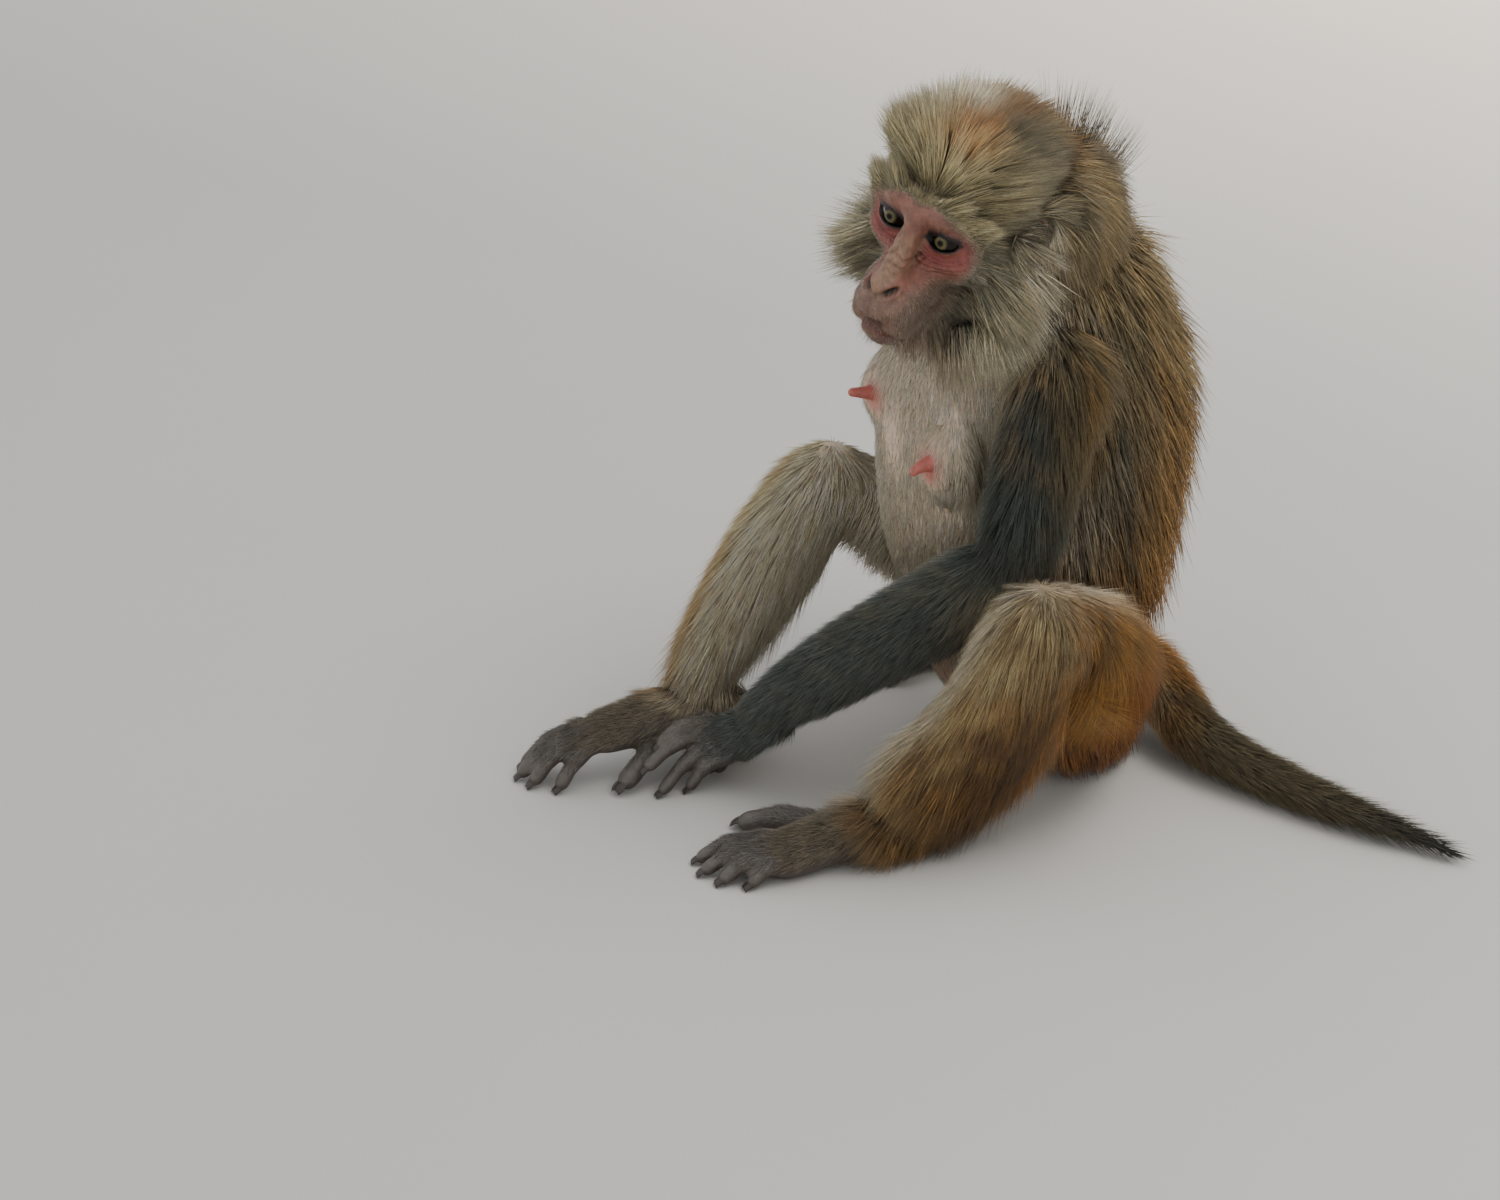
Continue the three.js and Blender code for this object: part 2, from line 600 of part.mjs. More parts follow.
// ---- Parts, in the order in which each gives way to those before it ----
const HALF_GAP = GAP / 2;
const parts = [
  { name: 'eye_left', make: eyeSolid(1), colour: 'eye' },
  { name: 'eye_right', make: eyeSolid(-1), colour: 'eye' },
  { name: 'head', make: headSolid, colour: 'fur_grey' },
  { name: 'ear_left', make: earSolid(1), colour: 'fur_pale' },
  { name: 'ear_right', make: earSolid(-1), colour: 'fur_pale' },
  { name: 'neck', make: limbSolid(NECK, { sides: 14, rows: 7, side: TORSO_SIDE }), colour: 'fur_grey' },
  { name: 'chest', make: trunkSolid(ABDOMEN_TOP + HALF_GAP, FAR), colour: 'fur_pale' },
  { name: 'abdomen', make: trunkSolid(RUMP_TOP + HALF_GAP, ABDOMEN_TOP - HALF_GAP), colour: 'fur_pale' },
  { name: 'rump', make: trunkSolid(FLOOR, RUMP_TOP - HALF_GAP), colour: 'fur_rufous' },
  { name: 'teat_left', make: teatSolid('left'), colour: 'skin_face' },
  { name: 'teat_right', make: teatSolid('right'), colour: 'skin_face' },
  { name: 'tail_1', make: tailSolid(-60, TAIL_CUTS[0] - HALF_GAP), colour: 'fur_rufous' },
  { name: 'tail_2', make: tailSolid(TAIL_CUTS[0] + HALF_GAP, TAIL_CUTS[1] - HALF_GAP), colour: 'fur_gold' },
  { name: 'tail_3', make: tailSolid(TAIL_CUTS[1] + HALF_GAP, 400), colour: 'fur_slate' },
  { name: 'upper_arm_left', make: limbSolid(UPPER_ARMS.left, { sides: 12, rows: 9 }), colour: 'fur_slate' },
  { name: 'upper_arm_right', make: limbSolid(UPPER_ARMS.right, { sides: 12, rows: 9 }), colour: 'fur_slate' },
  { name: 'hand_left', make: handSolid('left'), colour: 'skin_dark' },
  { name: 'hand_right', make: handSolid('right'), colour: 'skin_dark' },
  { name: 'forearm_left', make: limbSolid(FOREARMS.left, { side: [0.5, -0.86, 0] }), colour: 'fur_slate' },
  { name: 'forearm_right', make: limbSolid(FOREARMS.right, {}), colour: 'fur_slate' },
  { name: 'thigh_left', make: limbSolid(THIGHS.left, { sides: 14, rows: 9 }), colour: 'fur_gold' },
  { name: 'thigh_right', make: limbSolid(THIGHS.right, { sides: 14, rows: 9 }), colour: 'fur_gold' },
  { name: 'foot_left', make: footSolid('left'), colour: 'skin_dark' },
  { name: 'foot_right', make: footSolid('right'), colour: 'skin_dark' },
  { name: 'shank_left', make: limbSolid(SHANKS.left, { sides: 12, rows: 9 }), colour: 'fur_gold' },
  { name: 'shank_right', make: limbSolid(SHANKS.right, { sides: 12, rows: 9 }), colour: 'fur_gold' },
];

const faceForms = [
  ...[1, -1].flatMap((sign) => [lid(sign, 5.6), lid(sign, -5)]),
  lip(-41.5, 3.2),
  lip(-47, 2.6),
];

// Each part gives way to those before it; then its locks are cut clear of every other part and of the locks
// before them, and fused to it.
const monkey = new THREE.Group();
const above = slab(FLOOR, FAR);
const bodies = new Map();
const grown = new Map();
let taken = null;
for (const part of parts) {
  let solid = part.make();
  if (part.name === 'head') {
    solid = join([solid, ...faceForms]).subtract(nostril(1)).subtract(nostril(-1));
  }
  if (taken) solid = solid.subtract(taken);
  bodies.set(part.name, solid);
  grown.set(part.name, part.make(GAP));
  taken = taken ? taken.add(grown.get(part.name)) : grown.get(part.name);
}

let locksTaken = null;
for (const part of parts) {
  let solid = bodies.get(part.name);
  if (part.name in LOCKS) {
    let locks = locksOf(part.name, 0);
    for (const [name, other] of grown) {
      if (name !== part.name) locks = locks.subtract(other);
    }
    if (locksTaken) locks = locks.subtract(locksTaken);
    solid = solid.add(locks);
    const wide = locksOf(part.name, GAP);
    locksTaken = locksTaken ? locksTaken.add(wide) : wide;
  }
  const material = new THREE.MeshStandardMaterial({
    color: COLOURS[part.colour],
    roughness: part.name.startsWith('eye') ? 0.15 : 0.85,
    metalness: 0,
  });
  const mesh = new THREE.Mesh(toGeometry(solid.intersect(above)), material);
  mesh.name = part.name;
  monkey.add(mesh);
}

export default monkey;
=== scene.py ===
"""Seated rhesus macaque: one skin, a coat of solid tufts, eyes and nails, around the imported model."""

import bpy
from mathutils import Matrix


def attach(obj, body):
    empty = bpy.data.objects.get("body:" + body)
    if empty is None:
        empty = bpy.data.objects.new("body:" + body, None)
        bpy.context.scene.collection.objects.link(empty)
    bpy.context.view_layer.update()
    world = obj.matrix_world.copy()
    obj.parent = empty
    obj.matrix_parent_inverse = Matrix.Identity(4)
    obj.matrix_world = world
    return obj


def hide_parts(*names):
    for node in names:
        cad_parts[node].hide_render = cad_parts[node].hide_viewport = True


bl_info = {
    "name": "Seated Macaque",
    "version": (1, 0, 0),
    "blender": (4, 5, 0),
    "location": "View3D > Sidebar > Macaque",
    "description": "Skin, coat, eyes and nails of a life-size seated macaque",
    "category": "Add Mesh",
}

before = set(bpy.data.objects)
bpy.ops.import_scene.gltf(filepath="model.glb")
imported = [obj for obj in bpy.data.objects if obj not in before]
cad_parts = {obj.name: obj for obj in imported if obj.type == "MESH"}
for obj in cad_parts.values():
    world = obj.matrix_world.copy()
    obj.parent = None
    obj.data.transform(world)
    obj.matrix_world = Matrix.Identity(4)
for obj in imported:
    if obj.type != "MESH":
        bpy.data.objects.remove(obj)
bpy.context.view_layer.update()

import math

import bpy
import numpy as np

MM = 0.001
SEED = 20
# Millimetres: the lowest skin over the floor, the grid of the body's skin, the cell of a clump of tufts.
LOWEST_SKIN = 0.3
CORE_VOXEL = 3.3
CLUMP_SIZE = 6.5

# ---- Body plan, in millimetres: x, y, z of the middle, half width, half depth, out to the coat ----
# +X is the animal's left and it faces -Y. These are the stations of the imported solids.
TRUNK = [
    (0, -12, -16, 26, 26), (0, -14, 12, 58, 50), (0, -26, 45, 72, 58), (0, -44, 95, 79, 70),
    (0, -45, 150, 79, 92), (0, -44, 205, 75, 102), (0, -48, 258, 66, 98), (2, -50, 298, 54, 80),
    (4, -58, 334, 40, 52),
]
NECK = [(3, -54, 292, 48, 56), (3, -58, 320, 46, 56), (3, -64, 348, 44, 52), (0, -76, 374, 34, 38)]
TORSO_SIDE = (1, -0.06, -0.14)
UPPER_ARM_LEFT = [
    (40, -62, 292, 20, 24), (52, -73, 266, 32, 36), (65, -90, 234, 29, 32), (75, -107, 196, 26, 29),
    (79, -118, 158, 21, 23),
]
UPPER_ARM_RIGHT = [
    (-40, -56, 300, 20, 24), (-56, -58, 276, 33, 37), (-78, -40, 246, 29, 31), (-95, -12, 206, 26, 28),
    (-104, 6, 170, 21, 22),
]
FOREARM_LEFT = [
    (84, -114, 182, 17, 17), (68, -123, 162, 26, 26), (34, -147, 128, 26, 27), (-8, -178, 85, 22, 25),
    (-36, -198, 55, 18, 19), (-47, -207, 41, 13, 13),
]
FOREARM_RIGHT = [
    (-103, 14, 190, 17, 17), (-105, 10, 168, 23, 23), (-110, 10, 118, 21, 20), (-112, 12, 66, 16, 16),
    (-113, 10, 40, 14, 12), (-114, 4, 28, 11, 9),
]
THIGH_LEFT = [
    (30, -10, 62, 28, 26), (42, -26, 74, 39, 37), (65, -50, 98, 41, 38), (89, -84, 128, 37, 35),
    (105, -114, 152, 31, 31),
]
THIGH_RIGHT = [
    (-30, -10, 62, 28, 26), (-42, -26, 74, 39, 37), (-67, -48, 100, 41, 38), (-91, -82, 130, 36, 34),
    (-107, -108, 152, 30, 30),
]
SHANK_LEFT = [
    (109, -108, 170, 20, 24), (105, -118, 146, 31, 35), (96, -124, 110, 30, 42), (80, -134, 72, 28, 46),
    (67, -153, 42, 26, 42), (58, -169, 22, 19, 27),
]
SHANK_RIGHT = [
    (-110, -100, 170, 20, 22), (-108, -112, 148, 30, 33), (-106, -146, 114, 28, 36), (-104, -178, 80, 25, 31),
    (-101, -200, 52, 19, 24), (-99, -210, 34, 14, 16),
]
TAIL = [
    (-4, 27, 46, 22, 22), (10, 41, 34, 21, 21), (32, 40, 26, 21, 21), (62, 35, 20, 19, 19),
    (94, 37, 16, 17, 17), (132, 47, 13, 15, 15), (174, 60, 11, 13, 12), (210, 76, 8, 10, 9),
    (236, 87, 5.5, 7, 6), (252, 94, 3, 3, 3),
]
PALM_LEFT = [
    (-34, -196, 44, 9, 8), (-43, -202, 39, 13, 10), (-53, -209, 33, 14.5, 10), (-60, -216, 29, 13, 8),
]
PALM_RIGHT = [(-113, 10, 38, 9, 8), (-115, 0, 25, 15, 10), (-119, -16, 10, 19, 10), (-123, -32, 5, 17, 8)]
FOOT_LEFT = [
    (65, -141, 10, 8, 10), (62, -156, 14, 11, 14), (56, -180, 17.5, 13, 17), (48, -208, 15, 16, 15),
    (42, -238, 10, 18, 12), (36, -252, 7, 15, 9),
]
FOOT_RIGHT = [
    (-98, -166, 9, 11, 12), (-98, -182, 16, 16, 19), (-98, -210, 28, 18, 19), (-98, -240, 31, 18, 14),
    (-102, -264, 29, 18, 11), (-107, -278, 24, 14, 9),
]
# Digits: knuckle, tip.
FINGERS_LEFT = [
    ((-71, -220, 36), (-72, -250, 28)), ((-67, -222, 31), (-68, -261, 18)), ((-61, -219, 26), (-64, -253, 2)),
    ((-52, -215, 21), (-60, -237, 2)), ((-52, -203, 20), (-68, -212, 3)),
]
FINGERS_RIGHT = [
    ((-110, -30, 11), (-106, -62, 1.5)), ((-118, -34, 12), (-119, -74, 1.5)),
    ((-127, -34, 11), (-134, -72, 1.5)), ((-134, -28, 9), (-148, -56, 1.5)),
    ((-104, -6, 13), (-86, -24, 1.5)),
]
TOES_LEFT = [
    ((28, -246, 14), (10, -276, 2)), ((36, -250, 14), (23, -281, 2)), ((45, -248, 13), (37, -278, 2)),
    ((52, -241, 11), (49, -267, 2)), ((34, -206, 14), (-11, -234, 3)),
]
TOES_RIGHT = [
    ((-98, -274, 26), (-99, -300, 2)), ((-106, -280, 27), (-112, -310, 2)),
    ((-114, -281, 26), (-124, -311, 2)), ((-120, -275, 24), (-134, -303, 2)),
    ((-86, -222, 25), (-79, -270, 4)),
]
FINGER_RADII = (5.2, 5.2, 5.2, 4.9, 5.2)
TOE_RADII = (5.7, 5.7, 5.7, 5.5, 7.8)
PALM_SIDE_LEFT = (0.85, 0.15, -0.5)
DIGIT_ARCH = 5
KNEE_LEFT = (105, -110, 186)
KNEE_RIGHT = (-108, -104, 184)
TEAT_LEFT = [
    (30, -134, 221, 9, 9), (30.3, -141, 221, 4.5, 4.5), (31, -147, 221, 3.2, 3.2),
    (32, -154, 219, 2.2, 2.2),
]
TEAT_RIGHT = [
    (-26, -133, 242, 9, 9), (-27, -140, 242, 4.5, 4.5), (-28, -146, 243, 3.2, 3.2),
    (-30, -153, 244, 2.2, 2.2),
]
# Depth of the coat that is taken off the stations to find the skin.
NECK_COAT = 9
UPPER_ARM_COAT = 8
FOREARM_COAT = 4.5
THIGH_COAT = 10
SHANK_COAT = 7
TAIL_COAT = 4.5
HEAD_COAT = 9
BREASTS = [((30, -126, 222), (26, 13, 27)), ((-26, -125, 243), (26, 13, 27))]

# Wrists and ankles, where a paw goes into its limb.
FOREARM_WRIST_LEFT = [(-26, -191, 60, 15, 13), (-36, -198, 46, 12, 10), (-46, -204, 37, 12, 8)]
FOREARM_WRIST_RIGHT = [(-112, 11, 56, 12, 12), (-113, 9, 38, 11, 10), (-115, 0, 24, 12, 8)]
ANKLE_LEFT = [(68, -141, 44, 16, 23), (62, -152, 28, 13, 19), (58, -168, 18, 11, 14)]
ANKLE_RIGHT = [(-101, -197, 58, 15, 20), (-99, -203, 38, 13, 16), (-98, -208, 26, 13, 13)]

# Brush of long hairs between the shoulders: the line of its roots, and the point it fans out from.
NAPE_START = (6, -36, 374)
NAPE_END = (12, -12, 354)
NAPE_SOURCE = (8, -46, 316)
NAPE_WIDTH = 12
NAPE_LENGTH = 50
NAPE_HAIRS = 300
NAPE_REGIONS = ("trunk", "neck", "upper_arm_left", "upper_arm_right", "head")

# Head, in its own axes: x to its left, y to its back, z up.
HEAD_AT = (4.9, -111.6, 356.5)
HEAD_YAW = 20
HEAD_ROLL = 12.7
HEAD_PITCH = -3.7
HEAD_SIZE = 1.02
HEAD_MIDDLE = (0, -20, -16)
EYE = (16.2, -27, 1)
EYE_RADIUS = 9.5
EYE_SLIT = 9.8
UPPER_LID = 4.6
LOWER_LID = 4.2
LID_TILT = 0.9
LID_THICKNESS = 1.5
CORNEA_BULGE = 0.045
EYE_PLAY = 0.15
HEAD_ROWS = 140
HEAD_COLUMNS = 180
EAR = (43, 17, -8)
EAR_WIDTH = 25
EAR_HEIGHT = 37
EAR_DEPTH = 5.5
EAR_TURN = 0.75

# ---- Camera and light ----
CAMERA_AT = (1.74034, -1.41007, 1.22)
CAMERA_TURN = (62.9965, -0.8910, 56.4540)
CAMERA_LENS = 103.2
SENSOR_WIDTH = 36

# ---- Coat pieces and lights ----
COATS = {
    # name: regions, shortest and longest hair, tufts, bends in a tuft, slot
    "coat_ruff": (("head",), 34, 99, 17000, 2, "fur_grey"),
    "coat_crown": (("head",), 8, 34, 47000, 1, "fur_grey"),
    "coat_face": (("head",), 0, 8, 20000, 1, "fur_grey"),
    "coat_neck": (("neck",), 0, 99, 12500, 2, "fur_grey"),
    "coat_back": (("trunk",), 20, 99, 19000, 2, "fur_gold"),
    "coat_chest": (("trunk",), 0, 20, 33000, 1, "fur_pale"),
    "coat_arm_left": (("upper_arm_left", "forearm_left"), 0, 99, 27000, 1, "fur_slate"),
    "coat_arm_right": (("upper_arm_right", "forearm_right"), 0, 99, 18000, 1, "fur_slate"),
    "coat_leg_left": (("thigh_left", "shank_left", "foot_left"), 14, 99, 44000, 1, "fur_gold"),
    "coat_leg_right": (("thigh_right", "shank_right", "foot_right"), 14, 99, 28000, 1, "fur_gold"),
    "coat_tail": (("tail",), 0, 99, 14000, 1, "fur_rufous"),
    "coat_paws": (("hand_left", "hand_right", "foot_left", "foot_right"), 0, 14, 16000, 1, "skin_dark"),
}
# Share of tufts with a light tip and of dark tufts, and the shade of root, middle and tip; darker roots are
# partly the hair's own banding and partly painted shade deep in the coat.
TICKED_SHARE = 0.18
DARK_SHARE = 0.1
DARK_SHADE = 0.55
ROOT_SHADE = 0.42
MIDDLE_SHADE = 0.95
TIP_SHADE = 1.3
TICKED_SHADE = 1.8
LIGHTS = (
    # name, place in metres, size, power, colour
    ("key", (-1.9, -1.5, 1.8), 1.1, 400, (1.0, 0.96, 0.9)),
    ("fill", (2.6, -0.4, 1.6), 2.0, 40, (1.0, 0.97, 0.93)),
    ("rim", (-0.9, 2.1, 2.2), 0.9, 300, (1.0, 0.9, 0.77)),
    ("sky", (1.0, 1.2, 2.8), 2.0, 72, (1.0, 0.97, 0.93)),
)
LIGHTS_AIM = (0, -0.05, 0.2)
FLOOR_SIZE = 12
FLOOR_CLOUDS = 3
FLESH = [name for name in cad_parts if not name.startswith("eye")]
PLAN = {}
MATERIALS = {}


# ---- Small helpers ----
def unit(v):
    """Vectors scaled to length one."""
    return v / np.maximum(np.linalg.norm(v, axis=-1, keepdims=True), 1e-9)


def ease(x, low, high):
    """0 below low, 1 above high, and a smooth step between; high may be the smaller."""
    t = np.clip((np.asarray(x, float) - low) / (high - low), 0, 1)
    return t * t * (3 - 2 * t)


def mix(a, b, t):
    """a where t is 0 and b where t is 1; a and b are numbers, or colours with three parts."""
    a, b, t = np.asarray(a, float), np.asarray(b, float), np.asarray(t, float)
    if t.ndim and 3 in (a.shape[-1:] + b.shape[-1:]):
        t = t[..., None]
    return a + (b - a) * t


def spline(points, t):
    """Catmull-Rom curve through the points at the parameters t from 0 to 1."""
    p = np.asarray(points, float)
    last = len(p) - 1
    u = np.clip(np.asarray(t, float), 0, 1) * last
    i = np.minimum(u.astype(int), last - 1)
    f = (u - i)[:, None]
    q = np.vstack([2 * p[0] - p[1], p, 2 * p[-1] - p[-2]])
    a, b, c, d = q[i], q[i + 1], q[i + 2], q[i + 3]
    bend = (2 * a - 5 * b + 4 * c - d) * f ** 2 + (3 * b - a - 3 * c + d) * f ** 3
    return 0.5 * (2 * b + (c - a) * f + bend)


def waves(points, scale, seed):
    """Smooth noise from -1 to 1: a sum of sine waves in random directions, about scale millimetres long."""
    rng = np.random.default_rng(seed)
    total = np.zeros(len(points))
    for _ in range(6):
        direction = unit(rng.normal(size=3))
        pitch = 2 * math.pi / scale * rng.uniform(0.6, 1.7)
        total += np.sin(points @ direction * pitch + rng.uniform(0, 6.28))
    return total / 3.2


def colour(code):
    """A display colour such as #8a7350 as the linear colour that a shader takes."""
    c = np.array([int(code[i:i + 2], 16) / 255 for i in (1, 3, 5)])
    return np.where(c <= 0.04045, c / 12.92, ((c + 0.055) / 1.055) ** 2.4)


def turn_matrix(axis, angle):
    """Rotation by an angle about the axis x, y or z, given as 0, 1 or 2."""
    a, b = (axis + 1) % 3, (axis + 2) % 3
    matrix = np.eye(3)
    matrix[a, a] = matrix[b, b] = math.cos(angle)
    matrix[a, b], matrix[b, a] = -math.sin(angle), math.sin(angle)
    return matrix


def head_axes():
    """Columns are the head's left, back and up in the body's frame."""
    yaw, pitch, roll = (math.radians(a) for a in (HEAD_YAW, -HEAD_PITCH, HEAD_ROLL))
    return turn_matrix(2, yaw) @ turn_matrix(0, pitch) @ turn_matrix(1, roll)


HEAD_AXES = head_axes()


def from_head(points):
    """Points in the head's axes brought into the body's frame: scaled, turned and shifted."""
    return np.asarray(points, float) * HEAD_SIZE @ HEAD_AXES.T + np.array(HEAD_AT)


def to_head(points):
    """Points in the body's frame brought into the head's axes."""
    return (np.asarray(points, float) - np.array(HEAD_AT)) @ HEAD_AXES / HEAD_SIZE


# ---- Meshes ----
def grid_faces(rows, columns):
    """Triangles of a closed tube of rings with a pole at each end: pole 0, the rings, the last pole."""
    ring = np.arange(columns)
    after = (ring + 1) % columns
    first = np.stack([np.zeros(columns, int), 1 + after, 1 + ring], 1)
    start = 1 + columns * np.arange(rows - 1)[:, None]
    a, b = start + ring, start + after
    c, d = a + columns, b + columns
    body = np.concatenate([np.stack([a, b, c], -1), np.stack([b, d, c], -1)]).reshape(-1, 3)
    base = 1 + columns * (rows - 1)
    top = base + columns
    last = np.stack([np.full(columns, top), base + ring, base + after], 1)
    return np.concatenate([first, body, last])


def loft(stations, side=(1, 0, 0), sides=28, rows=36, grow=0.0):
    """Ellipses of the stated half width and depth carried along a smooth path, drawn in to a round cap at
    each end: ring = middle(t) + (across cos a rx + deep sin a ry) * swell(t)."""
    s = np.asarray(stations, float)
    last = len(s) - 1
    cap = max(3, rows // 4)
    row = np.arange(rows + 1)
    low = np.minimum(row / cap, 1) * math.pi / 2
    high = np.minimum((rows - row) / cap, 1) * math.pi / 2
    middle = np.clip((row - cap) / (rows - 2 * cap), 0, 1)
    low_cap = np.clip(s[0, 3] / np.linalg.norm(s[1, :3] - s[0, :3]), 0.25, 1) / last
    high_cap = np.clip(s[-1, 3] / np.linalg.norm(s[-1, :3] - s[-2, :3]), 0.25, 1) / last
    t = low_cap * (1 - np.cos(low)) + middle * (1 - low_cap - high_cap) + high_cap * np.cos(high)
    centre, tangent, across, deep, radii = path_frame(s, t, side)
    centre = centre + tangent * (grow * (np.cos(high) - np.cos(low)))[:, None]
    swell = (np.sin(low) * np.sin(high))[:, None, None]
    angle = np.arange(sides) / sides * 2 * math.pi
    out = (across[:, None] * np.cos(angle)[:, None] * (radii[:, None, :1] + grow)
           + deep[:, None] * np.sin(angle)[:, None] * (radii[:, None, 1:] + grow)) * swell
    rings = (centre[:, None] + out)[1:-1].reshape(-1, 3)
    return np.vstack([centre[:1], rings, centre[-1:]]), grid_faces(rows - 1, sides)


def path_frame(s, t, side):
    """Middle, tangent, across, deep and the two radii of a limb at the parameters t."""
    step = 1e-3
    centre = spline(s[:, :3], t)
    tangent = unit(spline(s[:, :3], np.clip(t + step, 0, 1)) - spline(s[:, :3], np.clip(t - step, 0, 1)))
    across = np.asarray(side, float) - tangent * (tangent @ np.asarray(side, float))[:, None]
    across = unit(across)
    return centre, tangent, across, np.cross(tangent, across), spline(s[:, 3:5], t)


def join(parts):
    """Several (points, faces) as one."""
    points, faces, count = [], [], 0
    for p, f in parts:
        points.append(p)
        faces.append(f + count)
        count += len(p)
    return np.vstack(points), np.vstack(faces)


def to_object(name, points, faces):
    """A mesh object in metres from points in millimetres and triangles."""
    mesh = bpy.data.meshes.new(name)
    mesh.vertices.add(len(points))
    mesh.vertices.foreach_set("co", (np.asarray(points, np.float32) * MM).ravel())
    mesh.loops.add(faces.size)
    mesh.loops.foreach_set("vertex_index", faces.astype(np.int32).ravel())
    mesh.polygons.add(len(faces))
    mesh.polygons.foreach_set("loop_start", np.arange(0, faces.size, 3, dtype=np.int32))
    mesh.polygons.foreach_set("use_smooth", np.full(len(faces), True))
    mesh.update(calc_edges=True)
    mesh.validate()
    thing = bpy.data.objects.new(name, mesh)
    bpy.context.scene.collection.objects.link(thing)
    return thing


def add_tint(thing, colours):
    """One colour for each point, as the attribute that the materials read."""
    tint = thing.data.color_attributes.new("tint", "FLOAT_COLOR", "POINT")
    rgba = np.ones((len(colours), 4), np.float32)
    rgba[:, :3] = colours
    tint.data.foreach_set("color", rgba.ravel())


def add_map(thing, label, places):
    """A UV map from one place for each point."""
    points = np.empty(len(thing.data.loops), np.int32)
    thing.data.loops.foreach_get("vertex_index", points)
    layer = thing.data.uv_layers.new(name=label)
    layer.data.foreach_set("uv", places[points].astype(np.float32).ravel())


def from_object(thing):
    """Points in millimetres and triangles of an object, with its modifiers applied."""
    view = bpy.context.evaluated_depsgraph_get()
    mesh = bpy.data.meshes.new_from_object(thing.evaluated_get(view))
    mesh.calc_loop_triangles()
    points = np.empty(len(mesh.vertices) * 3, np.float32)
    mesh.vertices.foreach_get("co", points)
    faces = np.empty(len(mesh.loop_triangles) * 3, np.int32)
    mesh.loop_triangles.foreach_get("vertices", faces)
    bpy.data.meshes.remove(mesh)
    return points.reshape(-1, 3).astype(float) / MM, faces.reshape(-1, 3)


def discard(thing):
    """Removes an object and its mesh."""
    mesh = thing.data
    bpy.data.objects.remove(thing)
    bpy.data.meshes.remove(mesh)


def fuse(points, faces, voxel):
    """Overlapping closed forms as one skin of even faces, voxel millimetres across."""
    thing = to_object("fuse", points, faces)
    remesh = thing.modifiers.new("remesh", "REMESH")
    remesh.mode = "VOXEL"
    remesh.voxel_size = voxel * MM
    fused = from_object(thing)
    discard(thing)
    return fused


def relax(points, faces, rounds):
    """Each point moved half-way to the mean of its neighbours, again and again."""
    edges = np.vstack([faces[:, [0, 1]], faces[:, [1, 2]], faces[:, [2, 0]]])
    a, b = edges[:, 0], edges[:, 1]
    degree = np.bincount(a, minlength=len(points))[:, None]
    for _ in range(rounds):
        mean = np.stack([np.bincount(a, points[b, k], len(points)) for k in range(3)], 1) / degree
        points = points + (mean - points) * 0.5
    return points


def point_normals(points, faces):
    """Unit normals of the points, weighted by the area of the faces around them."""
    p = points[faces]
    n = np.cross(p[:, 1] - p[:, 0], p[:, 2] - p[:, 0])
    total = np.stack([np.bincount(faces.ravel(), np.repeat(n[:, k], 3), len(points)) for k in range(3)], 1)
    return unit(total)


def unite(base, others):
    """Boolean union of closed meshes."""
    thing = to_object("unite", *base)
    tools = [to_object("unite_tool", *other) for other in others]
    for tool in tools:
        boolean = thing.modifiers.new("union", "BOOLEAN")
        boolean.operation = "UNION"
        boolean.solver = "MANIFOLD"
        boolean.object = tool
    joined = from_object(thing)
    for old in [thing] + tools:
        discard(old)
    return joined


# ---- Head ----
def oval_distance(p, centre, radii):
    """Near distance to an ellipsoid: k (k - 1) / |p / r r| with k the length of p / r."""
    q = (p - np.array(centre, float)) / np.array(radii, float)
    k = np.linalg.norm(q, axis=1)
    slope = np.linalg.norm(q / np.array(radii, float), axis=1)
    return k * (k - 1) / np.maximum(slope, 1e-6)


def rod_distance(p, start, end, radius):
    """Distance to a rod with round ends."""
    a = np.array(start, float)
    d = np.array(end, float) - a
    t = np.clip((p - a) @ d / (d @ d), 0, 1)
    return np.linalg.norm(p - a - t[:, None] * d, axis=1) - radius


def soft_min(a, b, blend):
    """The smaller of two distances, rounded over where they are nearly equal."""
    h = np.clip(0.5 + 0.5 * (b - a) / blend, 0, 1)
    return b + (a - b) * h - blend * h * (1 - h)


def bell(x, width):
    """1 where x is 0 and falling away on both sides: e to the power of minus x / width squared."""
    return np.exp(-(x / width) ** 2)


def lid_edge(u, rise):
    """Height of a lid's edge over the line of the corners: rise times the root of 1 - u u."""
    return rise * np.sqrt(np.clip(1 - u * u, 0, 1))


def eye_opening(across, up):
    """Height outside the almond between the lids, from the middle of the eye: above the upper lid's edge or
    below the lower lid's, both higher at the outer corner."""
    u = np.clip(across / EYE_SLIT, -1, 1)
    level = up - LID_TILT * u
    return np.maximum(level - lid_edge(u, UPPER_LID), -lid_edge(u, LOWER_LID) - level)


